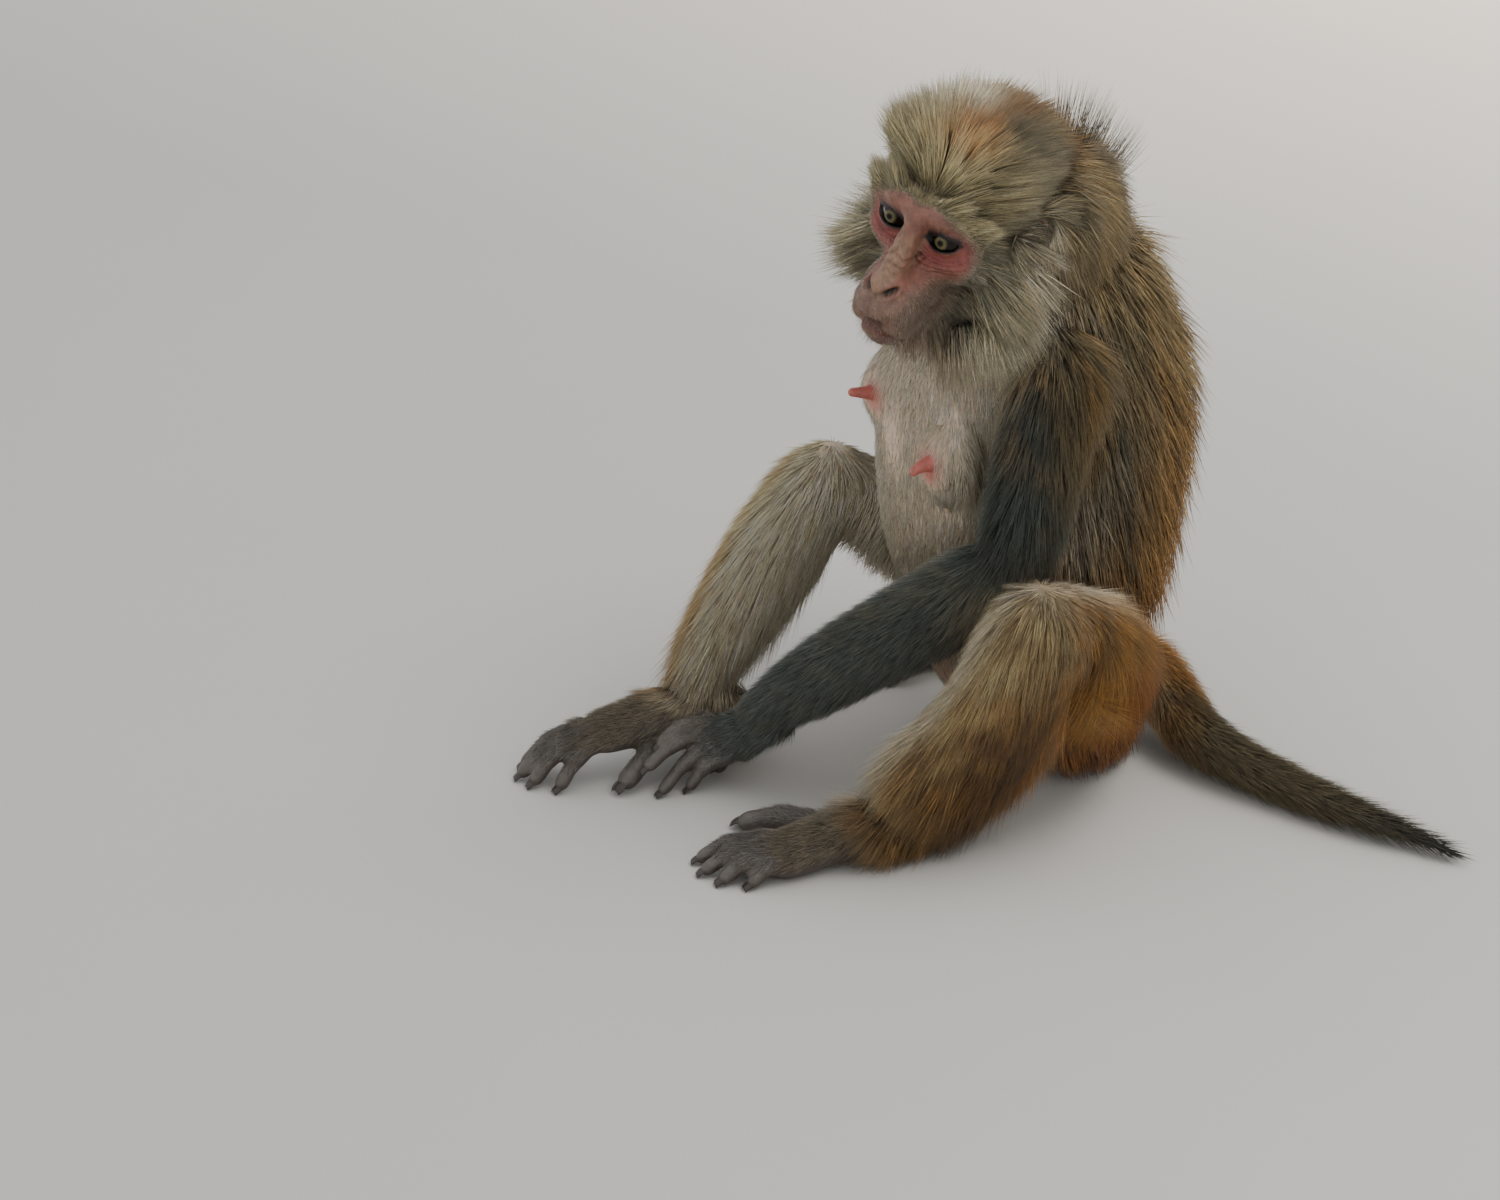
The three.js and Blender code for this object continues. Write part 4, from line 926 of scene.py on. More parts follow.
def limb_plan(name, p, normal, place):
    """Length, lift, width, density, droop and colours of one limb's coat, and its skin."""
    x, y, z = p.T
    one = np.ones(len(p))
    noise = waves(p, 40, 5)
    fine = waves(p, 15, 6)
    streak = waves(p * np.array([1, 1, 0.22]), 17, 9)
    sign = -1 if name.endswith("right") else 1
    outer = ease(normal[:, 0] * sign, -0.35, 0.35)
    if name == "trunk":
        front = np.maximum(ease(-normal[:, 1], -0.1, 0.55), ease(-y, 112, 122))
        front = front * (1 - ease(np.abs(x), 34, 52) * ease(z, 115, 75))
        back = mix(FUR["rufous"], FUR["umber"], ease(z + 14 * noise, 100, 180))
        back = mix(back, FUR["olive"], ease(z + 16 * noise, 200, 300))
        # Dark stripes down the back are painted shade between clumps of hair; the gold between them is the
        # hair's own.
        clump_shade_wave = waves(p * np.array([1, 1, 0.12]), 15, 19)
        back = mix(back, FUR["dark"], 0.7 * ease(clump_shade_wave, 0.1, 0.8))
        back = mix(back, FUR["gold"], 0.35 * ease(-clump_shade_wave, 0.3, 0.9))
        flank = ease(-normal[:, 1], -0.4, 0.1) * ease(z, 130, 200) * ease(z, 330, 280)
        back = mix(back, FUR["slate"], 0.8 * flank)
        fur = mix(back, mix(FUR["belly"], FUR["cream"], ease(z, 130, 220)), front)
        length = mix(np.interp(z, [60, 98, 116, 135, 200], [22, 23, 40, 42, 33]), 9 * one, front)
        bald = np.zeros(len(p))
        for cx, _, cz, *_ in (TEAT_LEFT[1], TEAT_RIGHT[1]):
            bald = np.maximum(bald, ease(np.hypot(x - cx, z - cz), 20, 7) * ease(-y, 116, 124))
        groin = ease(z, 96, 60) * front * ease(np.abs(x), 26, 14)
        density = mix(mix(one, 0.9, front), 0.08, bald) * mix(one, 0.15, groin) * ease(-y, 142, 139)
        skin = mix(fur * 0.6, SKIN["chest"], front * 0.8)
        skin = mix(skin, SKIN["teat"], bald * 0.25 + 0.7 * ease(-y, 137, 141) * bald)
        skin = mix(skin, SKIN["seat"], groin)
        return length, 0.24 - 0.12 * front, 0.88 - 0.5 * front, density, 0.25 * one, fur, skin
    if name == "neck":
        front = ease(-normal[:, 1], 0.45, 0.9)
        fur = mix(mix(FUR["nape"], FUR["olive"], ease(noise, -0.5, 0.5)), FUR["cream"], front * 0.8)
        fur = mix(fur, FUR["dark"], 0.7 * ease(streak, 0.0, 0.7) * ease(front, 0.5, 0))
        return 30 - 14 * front, 0.3 * one, 0.85 - 0.3 * front, one, 0.3 * one, fur, fur * 0.6
    if name.startswith("upper_arm"):
        inner = ease(-normal[:, 1] - 0.3 * outer, -0.3, 0.5)
        fur = mix(FUR["arm_brown"], FUR["slate"], ease(place + 0.15 * noise + 0.35 * inner, 0.35, 0.95))
        fur = mix(fur, FUR["dark"], 0.5 * ease(streak, 0.2, 0.9))
        fur = mix(fur, FUR["gold"], 0.45 * ease(-streak, 0.2, 0.8) * ease(place, 0.7, 0.1))
        return 26 - 6 * place, 0.27 * one, 0.66 * one, one, 0.25 * one, fur, fur * 0.6
    if name.startswith("forearm"):
        fur = mix(FUR["slate"], FUR["forearm"], ease(place + 0.2 * noise, 0.1, 0.7))
        fur = mix(fur, FUR["arm_brown"], 0.35 * ease(fine, 0.1, 0.8))
        return 19 - 9 * place, 0.22 * one, 0.58 - 0.14 * place, one, 0.2 * one, fur, fur * 0.6
    if name.startswith("thigh"):
        fur = mix(FUR["gold"], FUR["rufous"], ease(0.75 - place + 0.35 * noise, 0, 0.6))
        fur = mix(fur, FUR["dark"], 0.5 * ease(streak, 0.3, 0.9))
        fur = fur * (1 + 0.3 * waves(p * np.array([1, 1, 0.3]), 8, 15))[:, None]
        fur = mix(fur, FUR["knee"], 0.8 * ease(place + 0.12 * fine, 0.84, 1.0))
        if sign < 0:
            # Painted sunlight: the far thigh's inner side brightened to a pale cream.
            fur = mix(fur, FUR["sunlit_cream"], 0.85 * ease(place, 0.15, 0.5) * (1 - 0.75 * outer))
        fur = mix(mix(FUR["cream"], fur, 0.3), fur, outer)
        under = ease(-normal[:, 2], -0.1, 0.5)
        hem = (48 if sign > 0 else 24) + 5 * fine
        length = mix(26 * one, hem, under * outer * ease(place, 0.05, 0.4))
        density = mix(0.4 * one, 1, np.maximum(outer, ease(normal[:, 1], -0.2, 0.2)))
        skin = mix(mix(fur * 0.6, SKIN["thigh"], 0.8), fur * 0.6, outer)
        length = mix(length, 15 * one, ease(place, 0.72, 0.95))
        return length, 0.19 - 0.12 * ease(place, 0.7, 0.95), 0.7 * one, density, 2.2 + 0.5 * under, fur, skin
    if name.startswith("shank"):
        fur = mix(FUR["shin"], FUR["buff"], ease(place + 0.2 * noise, 0.1, 0.6))
        fur = mix(fur, FUR["knee"], 0.8 * ease(place + 0.1 * fine, 0.14, 0.0))
        if sign > 0:
            fur = mix(fur, FUR["gold"], ease(normal[:, 1] + 0.3 * fine, -1.0, -0.3) * ease(place, 0.0, 0.4))
            instep = ease(place, 0.65, 0.9) * ease(-normal[:, 1], 0.1, 0.6)
            fur = mix(fur, mix(FUR["buff"], FUR["shin"], 0.4), 0.8 * instep)
            calf = ease(normal[:, 1] + 0.4 * fine, -0.8, -0.1) * ease(place, 0.1, 0.45)
            fur = mix(fur, FUR["brown"], 0.85 * calf)
            fur = mix(fur, FUR["dark"], 0.3 * ease(streak, 0.3, 0.9) * ease(place, 0.1, 0.4))
            hind = ease(normal[:, 1] + 0.3 * noise, 0.1, 0.7) * ease(place, 0.95, 0.7)
            fur = mix(fur, mix(FUR["rufous"], FUR["gold"], 0.45) * 1.25, 0.85 * hind)
            fur = fur * (1 + 0.35 * waves(p * np.array([1, 1, 0.25]), 7, 16))[:, None]
        else:
            fur = mix(fur, FUR["rufous"], 0.5 * ease(-normal[:, 2] + 0.3 * noise, -0.2, 0.6) * outer)
            # Painted sunlight on the far shank's inner side.
            fur = mix(fur, FUR["sunlit_cream"], 0.75 * ease(place, 0.95, 0.3) * (1 - 0.7 * outer))
        fur = mix(mix(FUR["cream"], fur, 0.4), fur, outer)
        back = ease(normal[:, 1], 0, 0.6)
        shaggy = np.maximum(back * ease(place, 0.2, 0.5), ease(place, 0.5, 0.75))
        length = mix(26 - 4 * place, 38 + 4 * fine, shaggy)
        length = mix(length, 15 * one, ease(place, 0.2, 0.0))
        return length, 0.16 - 0.09 * ease(place, 0.25, 0), 0.66 * one, one, 0.3 + 0.3 * back, fur, fur * 0.6
    if name == "tail":
        # The gold, umber and rufous mix is the hair's own; the 1.15 brightening at the tail's root is painted
        # light.
        fur = mix(mix(FUR["gold"], FUR["umber"], 0.5) * 1.15, FUR["rufous"], 0.3 + 0.5 * fine)
        fur = mix(fur, FUR["tail"], ease(place + 0.06 * noise, 0.1, 0.42))
        fur = mix(fur, FUR["tail_tip"], ease(place, 0.5, 0.9))
        length = 17 - 5 * ease(place, 0.85, 1)
        return length, 0.2 + 0.14 * ease(place, 0.5, 0.9), 0.58 * one, one, 0 * one, fur, fur * 0.6
    # hands and feet: short hair on the back, bare pads under, thin on the fingers and none on the last joints
    hand = name.startswith("hand")
    cuff = 0 * one if hand else ease(place, 0.5, 0.2)
    if name == "foot_right":
        cuff = cuff * 0.45 * ease(normal[:, 2], -0.3, 0.4)
    top = mix(ease(normal[:, 2], -0.15, 0.35), ease(normal[:, 2], -0.7, -0.2), cuff)
    fur = mix(FUR["forearm"] if hand else FUR["paw"], FUR["digit"], ease(place, 0.8, 1.2))
    # Painted light from above: the heel's hair lighter on top and brown underneath.
    pale = np.clip(0.25 + 0.75 * ease(normal[:, 2], -0.2, 0.5) + 0.2 * fine, 0, 1)
    heel = mix(FUR["brown"], FUR["shin"], pale)
    fur = mix(fur, heel, 0.9 * cuff)
    lengths = [12, 8, 6, 3.5, 2.5, 2] if hand else [13, 9, 7, 5.5, 4, 2]
    length = np.interp(place, [0, 0.5, 1.0, 1.3, 1.6, 2], lengths)
    length = mix(length, 19 * one, cuff)
    thick = [1, 0.9, 0.25, 0.15, 0, 0] if hand else [1, 0.9, 0.9, 0.7, 0, 0]
    density = top * np.interp(place, [0, 0.9, 1.1, 1.6, 1.74, 2], thick)
    skin = mix(SKIN["pad"], mix(SKIN["paw"], fur * 0.7, 0.4), top)
    return length, 0.2 - 0.08 * cuff, 0.36 + 0.014 * length, density, 0.1 + 1.4 * cuff, fur, skin


def plan_coat(points, normals):
    """Everything that the coat and the skin's colours need, for each point of the skin."""
    outside, place, angle, flow, digit, local, depth = locate(points)
    share = np.exp(-(outside - outside.min(1, keepdims=True)) / 6.0)
    by_cheek = ease(depth, 16, 8) * ease(local[:, 1], 44, 30) * ease(np.abs(local[:, 0]), 16, 24)
    share[:, -1] = np.where(depth < 1.2, np.maximum(share[:, -1], 3.0), share[:, -1] * 0.3 + 4 * by_cheek)
    share /= share.sum(1, keepdims=True)
    count = len(points)
    sums = {key: np.zeros(count) for key in ("length", "lift", "width", "density", "droop")}
    fur, skin, direction = np.zeros((count, 3)), np.zeros((count, 3)), np.zeros((count, 3))
    for k, name in enumerate(REGIONS[:-1]):
        on = np.flatnonzero(share[:, k] > 0.01)
        if not len(on):
            continue
        values = limb_plan(name, points[on], normals[on], place[on, k])
        w = share[on, k]
        for key, value in zip(("length", "lift", "width", "density", "droop"), values):
            sums[key][on] += w * value
        fur[on] += w[:, None] * values[5]
        skin[on] += w[:, None] * values[6]
        lie = flow[on, k]
        knee = points[on] - np.array(KNEE_RIGHT if name.endswith("right") else KNEE_LEFT, float)
        if name.startswith(("thigh", "shank")):
            whorl = bell(np.linalg.norm(knee, axis=1), 26)
            lie = mix(lie, 1.5 * unit(knee), whorl)
        if name.startswith("thigh"):
            sign = -1 if name.endswith("right") else 1
            hem = ease(-normals[on, 2], -0.2, 0.5) * ease(normals[on, 0] * sign, -0.2, 0.3)
            lie = lie + hem[:, None] * np.array([1.6 * sign, -0.8, 0])
        direction[on] += w[:, None] * lie
    on = np.flatnonzero(share[:, -1] > 0.01)
    w = share[on, -1]
    lie, length, lift, width, density, tint, bare = head_plan(local[on], normals[on] @ HEAD_AXES)
    for key, value in zip(("length", "lift", "width", "density"), (length, lift, width, density)):
        sums[key][on] += w * value
    fur[on] += w[:, None] * tint
    skin[on] += w[:, None] * bare
    free = np.zeros((count, 3))
    free[on] = lie * w[:, None]
    direction = direction + np.array([0, 0, -1.0]) * sums["droop"][:, None]
    direction -= normals * np.einsum("ij,ij->i", direction, normals)[:, None]
    direction = unit(unit(direction) * (1 - share[:, -1:]) + free)
    region = np.argmax(share, axis=1)
    row = np.arange(count)
    turn = angle[row, region] / (2 * math.pi) + 0.5
    along = place[row, region] / 2
    on_digit = along > 0.5
    turn[on_digit] = ((digit[row, region] + turn) / 5)[on_digit]
    on_head = region == len(REGIONS) - 1
    turn[on_head] = np.arctan2(local[on_head, 0], local[on_head, 1] + 20) / (2 * math.pi) + 0.5
    along[on_head] = (local[on_head, 2] + 80) / 160
    return {**sums, "direction": direction, "fur": fur, "skin": skin, "region": region,
            "unwrap": np.stack([turn, along], 1)}


# ---- Skin object ----
def build_skin(settings):
    """Core, head, ears, teats and paws united into one closed skin, with its colours as an attribute."""
    others = [head_form(settings.fold_depth), ear_form(1), ear_form(-1)]
    others += [loft(TEAT_LEFT, sides=18, rows=20), loft(TEAT_RIGHT, sides=18, rows=20)]
    others += [
        paw_form(PALM_LEFT, FINGERS_LEFT, FINGER_RADII, PALM_SIDE_LEFT, FOREARM_WRIST_LEFT, 1.4),
        paw_form(PALM_RIGHT, FINGERS_RIGHT, FINGER_RADII, (1, -0.2, 0), FOREARM_WRIST_RIGHT, 1.5),
        paw_form(FOOT_LEFT, TOES_LEFT, TOE_RADII, (1, 0, 0), ANKLE_LEFT, 1.6),
        paw_form(FOOT_RIGHT, TOES_RIGHT, TOE_RADII, (1, 0, 0), ANKLE_RIGHT, 1.6),
    ]
    points, faces = unite(core_form(), others)
    normals = point_normals(points, faces)
    PLAN.update(plan_coat(points, normals))
    PLAN.update(points=points, faces=faces, normals=normals)
    skin = to_object("skin", points, faces)
    add_tint(skin, PLAN["skin"])
    finish(skin, skin_material, "skin_face", *FLESH)


# ---- Coat ----
def sample_roots(regions, shortest, longest, count, rng):
    """Roots spread over the skin of some regions where the coat's length is in a range, in proportion to area
    times density over width."""
    region = PLAN["region"][PLAN["faces"]]
    chosen = np.isin(region, [REGIONS.index(name) for name in regions]).sum(1) >= 2
    mean = PLAN["length"][PLAN["faces"]].mean(1)
    chosen &= (mean >= shortest) & (mean < longest)
    faces = PLAN["faces"][chosen]
    p = PLAN["points"][faces]
    area = np.linalg.norm(np.cross(p[:, 1] - p[:, 0], p[:, 2] - p[:, 0]), axis=1)
    spacing = np.maximum(PLAN["width"][faces].mean(1), 0.5)
    weight = np.cumsum(area * PLAN["density"][faces].mean(1) / spacing)
    pick = (np.arange(count) + rng.random(count)) / count * weight[-1]
    face = faces[np.minimum(np.searchsorted(weight, pick), len(faces) - 1)]
    a, b = rng.random(count), rng.random(count)
    flip = a + b > 1
    a[flip], b[flip] = 1 - a[flip], 1 - b[flip]
    return face, np.stack([1 - a - b, a, b], 1)


def at_roots(face, share, key):
    """A value of the plan at the roots."""
    value = PLAN[key][face]
    return np.einsum("ij...,ij->i...", value, share)


def root_places(face, share, regions):
    """Each tuft's place on the unwrap of the skin: turn round the limb or head and place along it, with the
    regions of the piece side by side, and no place taken across a seam."""
    corner = PLAN["unwrap"][face]
    same = PLAN["region"][face] == PLAN["region"][face[:, :1]]
    near = np.abs(corner - corner[:, :1]).max(2) < 0.2
    corner = np.where((same & near)[..., None], corner, corner[:, :1])
    place = np.einsum("ijk,ij->ik", corner, share)
    lane = np.zeros(len(face))
    for number, name in enumerate(regions):
        lane[PLAN["region"][face[:, 0]] == REGIONS.index(name)] = number
    return np.stack([(lane + place[:, 0]) / len(regions), place[:, 1]], 1)


def clump(points, tips, amount, size, seed):
    """Tips drawn together in clumps: each moves towards the mean tip of its wavy cell."""
    bent = points + 0.35 * size * np.stack([waves(points, size * 2.3, seed + k) for k in range(3)], 1)
    cell = np.floor(bent / size).astype(int)
    _, group = np.unique(cell @ np.array([1, 4096, 4096 * 4096]), return_inverse=True)
    group = group.ravel()
    number = np.bincount(group)
    mean = np.stack([np.bincount(group, tips[:, k]) / number for k in range(3)], 1)
    return tips + (mean[group] - tips) * amount[:, None]


def tuft_mesh(root, normal, lie, length, lift, width, segments, tones, unwrap, rng, clumped=0.5):
    """Solid tufts: each a bent three-sided spike along the curve root, middle, tip, its broad side turned
    out. Returns points, triangles, colours, unwrap places and strand coordinates."""
    count = len(root)
    swing = rng.normal(size=(count, 3)) * (0.1 + 0.1 * ease(length, 28, 40))[:, None]
    lie = unit(lie + swing)
    start = unit(lie + normal * (np.tan(np.clip(lift * 2.2, 0, 1.1)))[:, None])
    end = unit(lie + normal * (lift * 0.6)[:, None])
    middle = root + start * (length * 0.45)[:, None]
    tip = middle + end * (length * 0.55)[:, None]
    clumping = clumped * ease(length, 4, 14)
    tip = clump(root, tip, clumping, CLUMP_SIZE, 11)
    middle = clump(root, middle, clumping * 0.35, CLUMP_SIZE, 11)
    tip[:, 2] = np.maximum(tip[:, 2], 0.4)
    middle[:, 2] = np.maximum(middle[:, 2], 0.8)
    root = root - normal * np.minimum(0.8, width * 0.6)[:, None]
    root[:, 2] = np.maximum(root[:, 2], 0.4)
    t = np.linspace(0, 1, segments + 1)
    curve = ((1 - t) ** 2)[:, None] * root[:, None] + (2 * t * (1 - t))[:, None] * middle[:, None]
    curve = curve + (t ** 2)[:, None] * tip[:, None]
    tangent = unit(np.gradient(curve, axis=1))
    across = unit(np.cross(tangent, normal[:, None]))
    up = np.cross(across, tangent)
    taper = (width[:, None] * (1 - t[None] ** 1.6))[:, :-1, None, None]
    corner = np.array([[-0.5, -0.12], [0.5, -0.12], [0, 0.34]])
    section = across[:, :-1, None] * corner[:, :1] + up[:, :-1, None] * corner[:, 1:]
    rings = curve[:, :-1, None] + taper * section
    rings[..., 2] = np.maximum(rings[..., 2], 0.25)
    points = np.concatenate([rings.reshape(count, -1, 3), curve[:, -1:]], axis=1)
    per = 3 * segments + 1
    one = []
    for ring in range(segments - 1):
        for k in range(3):
            a, b = 3 * ring + k, 3 * ring + (k + 1) % 3
            one += [(a, b, a + 3), (b, b + 3, a + 3)]
    base = 3 * (segments - 1)
    one += [(base + k, base + (k + 1) % 3, per - 1) for k in range(3)] + [(0, 2, 1)]
    faces = (np.array(one)[None] + (np.arange(count) * per)[:, None, None]).reshape(-1, 3)
    t_point = np.concatenate([np.repeat(t[:-1], 3), [1.0]])
    side = np.concatenate([np.tile([-1.0, 1.0, 0.0], segments), [0]])
    shade = rng.normal(size=(count, 1)) * 0.16 * side[None]
    root_tone, mid_tone, tip_tone = tones
    far = 2 * t_point[None] * np.ones((count, 1))
    lower = mix(root_tone[:, None], mid_tone[:, None], far)
    upper = mix(mid_tone[:, None], tip_tone[:, None], far - 1)
    colours = np.where(t_point[None, :, None] < 0.5, lower, upper)
    colours = colours * (1 + shade)[..., None]
    patch = np.stack([side * 0.0015, (t_point - 0.5) * 0.003], 1)
    place = unwrap[:, None] * 0.98 + 0.01 + patch[None]
    across = side[None] * width[:, None] * 0.5 + 40 * rng.random((count, 1))
    strand = np.stack([across, t_point[None] * length[:, None] * 0.09 + 40 * rng.random((count, 1))], -1)
    return (points.reshape(-1, 3), faces, colours.reshape(-1, 3), place.reshape(-1, 2),
            strand.reshape(-1, 2))


def build_coat(name, settings):
    """One piece of the coat over some regions of the skin."""
    regions, shortest, longest, count, segments, slot = COATS[name]
    count = int(count * settings.fullness)
    rng = np.random.default_rng(settings.seed + list(COATS).index(name))
    face, share = sample_roots(regions, shortest, longest, count, rng)
    root = at_roots(face, share, "points")
    normal = unit(at_roots(face, share, "normals"))
    lie = unit(at_roots(face, share, "direction"))
    unwrap = root_places(face, share, regions)
    vary = rng.normal(size=count)
    length = at_roots(face, share, "length") * np.clip(1 + 0.22 * vary, 0.45, 1.3) * settings.length
    width = at_roots(face, share, "width") * rng.uniform(0.55, 1.35, count)
    lift = at_roots(face, share, "lift") * rng.uniform(0.5, 1.5, count)
    fur = at_roots(face, share, "fur")
    bright = np.exp(0.24 * rng.normal(size=count) + 0.12 * waves(root, 9, 8))[:, None]
    warm = 1 + 0.05 * rng.normal(size=(count, 1)) * np.array([1, 0.2, -1])
    fur = fur * bright * warm
    ticked = (rng.random(count) < TICKED_SHARE)[:, None]
    dark = (rng.random(count) < DARK_SHARE)[:, None]
    fur = np.where(dark & ~ticked, fur * DARK_SHADE, fur)
    tip_tone = np.where(ticked, fur * TICKED_SHADE, fur * TIP_SHADE)
    # Roots darkened: partly the hair's banding, partly painted shade deep in the coat.
    tones = (fur * ROOT_SHADE, fur * MIDDLE_SHADE, tip_tone)
    clumped = 0.15 if name == "coat_tail" else 0.45
    mesh = tuft_mesh(root, normal, lie, length, lift, width, segments, tones, unwrap, rng, clumped)
    finish(coat_object(name, *mesh), coat_material, slot)


def build_nape(settings):
    """A brush of long dark hairs that stands up between the shoulders, fanned out from under the neck."""
    rng = np.random.default_rng(settings.seed + 90)
    centre = PLAN["points"][PLAN["faces"]].mean(1)
    run = np.array(NAPE_END, float) - np.array(NAPE_START, float)
    t = np.clip((centre - np.array(NAPE_START)) @ run / (run @ run), 0, 1)
    near = np.linalg.norm(centre - np.array(NAPE_START) - t[:, None] * run, axis=1)
    pool = np.flatnonzero(near < NAPE_WIDTH)
    face = PLAN["faces"][rng.choice(pool, NAPE_HAIRS)]
    share = rng.dirichlet((1, 1, 1), NAPE_HAIRS)
    root = at_roots(face, share, "points")
    normal = unit(at_roots(face, share, "normals"))
    lie = unit(root - np.array(NAPE_SOURCE) + rng.normal(size=root.shape) * 3)
    one = np.ones(NAPE_HAIRS)
    fur = mix(FUR["dark"], FUR["nape"], rng.random(NAPE_HAIRS))
    tones = (fur * 0.7, fur * 0.8, fur * 0.9)
    length = NAPE_LENGTH * rng.uniform(0.55, 1.1, NAPE_HAIRS)
    unwrap = root_places(face, share, NAPE_REGIONS)
    mesh = tuft_mesh(root, normal, lie, length, 0.12 * one, 0.55 * one, 3, tones, unwrap, rng)
    finish(coat_object("coat_nape", *mesh), coat_material, "fur_slate")


def coat_object(name, points, faces, colours, place, strand):
    """The coat piece's mesh with its colour attribute, its bake map and its strand map."""
    thing = to_object(name, points, faces)
    add_tint(thing, np.clip(colours, 0, 1))
    add_map(thing, "OFBake", place)
    add_map(thing, "strand", strand)
    return thing


# ---- Eyes and nails ----
def build_eye(name, sign, settings):
    """An eyeball with a bulged cornea: sphere of rings round the line of sight, gaze coordinates as UV."""
    rows, columns = 48, 64
    polar = np.linspace(0, math.pi, rows + 1)[1:-1]
    bulge = 1 + CORNEA_BULGE * ease(polar, 0.62, 0.30)
    around = np.arange(columns) / columns * 2 * math.pi
    ball = EYE_RADIUS - EYE_PLAY
    radius = ball * bulge[:, None]
    out = np.sin(polar)[:, None] * radius
    ring = np.stack([out * np.cos(around), -np.cos(polar)[:, None] * radius + 0 * around,
                     out * np.sin(around)], -1).reshape(-1, 3)
    local = np.vstack([[0, -ball * (1 + CORNEA_BULGE), 0], ring, [0, ball, 0]])
    gaze = np.stack([local[:, 0], local[:, 2]], 1) / (2 * EYE_RADIUS) + 0.5
    down = turn_matrix(0, -settings.turn_down)
    aside = turn_matrix(2, settings.turn_out * sign)
    local = local @ down.T @ aside.T + np.array([sign * EYE[0], EYE[1], EYE[2]])
    points, faces = outward(from_head(local), grid_faces(rows - 1, columns))
    eye = to_object(name, points, faces)
    add_map(eye, "gaze", gaze)
    finish(eye, eye_material, "eye", "eye_left" if sign > 0 else "eye_right")


def nail_form(knuckle, tip, radius):
    """A nail: a half-tube plate over the tip of a digit, arched across and bent down at its free end."""
    run = np.array(tip, float) - np.array(knuckle, float)
    run[2] = 0
    along = unit(run)
    across = np.array([-along[1], along[0], 0])
    rows, columns = 12, 14
    v = np.linspace(0, 1, rows)[:, None]
    half = radius * 0.56
    centre = np.array(tip, float) - along * radius * 0.5
    u = np.linspace(-1, 1, columns)[None]
    outline = half * np.sqrt(np.clip(1 - (2 * np.abs(v - 0.5)) ** 4 * 0.55, 0, 1))
    reach = radius * 1.05 * v
    height = radius * (0.72 - 0.6 * v ** 2) - 0.42 * half * u ** 2
    sheets = []
    for depth in (0.0, -0.8):
        sheet = (centre + along * reach[..., None] + across * (outline * u)[..., None]
                 + np.array([0, 0, 1.0]) * (height + depth + 0 * u)[..., None])
        sheets.append(sheet.reshape(-1, 3))
    points = np.vstack(sheets)
    points[:, 2] = np.maximum(points[:, 2], LOWEST_SKIN)
    size = rows * columns
    i = (np.arange(rows - 1)[:, None] * columns + np.arange(columns - 1)).ravel()
    first = np.stack([i, i + 1, i + columns], 1)
    top = np.concatenate([first, np.stack([i + 1, i + columns + 1, i + columns], 1)])
    under = top[:, ::-1] + size
    edge = np.concatenate([np.arange(columns), np.arange(1, rows) * columns + columns - 1,
                           size - 2 - np.arange(columns - 1), (rows - 2 - np.arange(rows - 2)) * columns])
    after = np.roll(edge, -1)
    rise = np.stack([edge, edge + size, after], 1)
    wall = np.concatenate([rise, np.stack([after, edge + size, after + size], 1)])
    return outward(points, np.concatenate([top, under, wall]))


def build_nails():
    """The twenty nails as one piece."""
    forms = []
    for digits, radii in DIGITS.values():
        forms += [nail_form(knuckle, tip, radius) for (knuckle, tip), radius in zip(digits, radii)]
    finish(to_object("nails", *join(forms)), nail_material, "skin_dark")


# ---- Materials ----
def new_material(name):
    """A new material with its nodes, its links and its Principled shader."""
    material = bpy.data.materials.new(name)
    material.use_nodes = True
    nodes, links = material.node_tree.nodes, material.node_tree.links
    return material, nodes, links, nodes["Principled BSDF"]


def add_node(nodes, kind, operation=None, **inputs):
    """A node with its operation and some of its inputs set, each named with _ in place of a space."""
    node = nodes.new(kind)
    if operation:
        node.operation = operation
    set_inputs(node, **inputs)
    return node


def set_inputs(node, **inputs):
    """Values put straight on a node's own sockets."""
    for name, value in inputs.items():
        node.inputs[name.replace("_", " ")].default_value = value


def shaded(nodes, links, tone, factor):
    """A colour times a factor, as a socket."""
    product = add_node(nodes, "ShaderNodeVectorMath", "SCALE")
    links.new(tone, product.inputs[0])
    links.new(factor, product.inputs["Scale"])
    return product.outputs[0]


def add_bump(nodes, links, shader, height, strength, distance):
    """A height that tilts the shader's normal."""
    bump = add_node(nodes, "ShaderNodeBump", Strength=strength, Distance=distance)
    links.new(height, bump.inputs["Height"])
    links.new(bump.outputs["Normal"], shader.inputs["Normal"])


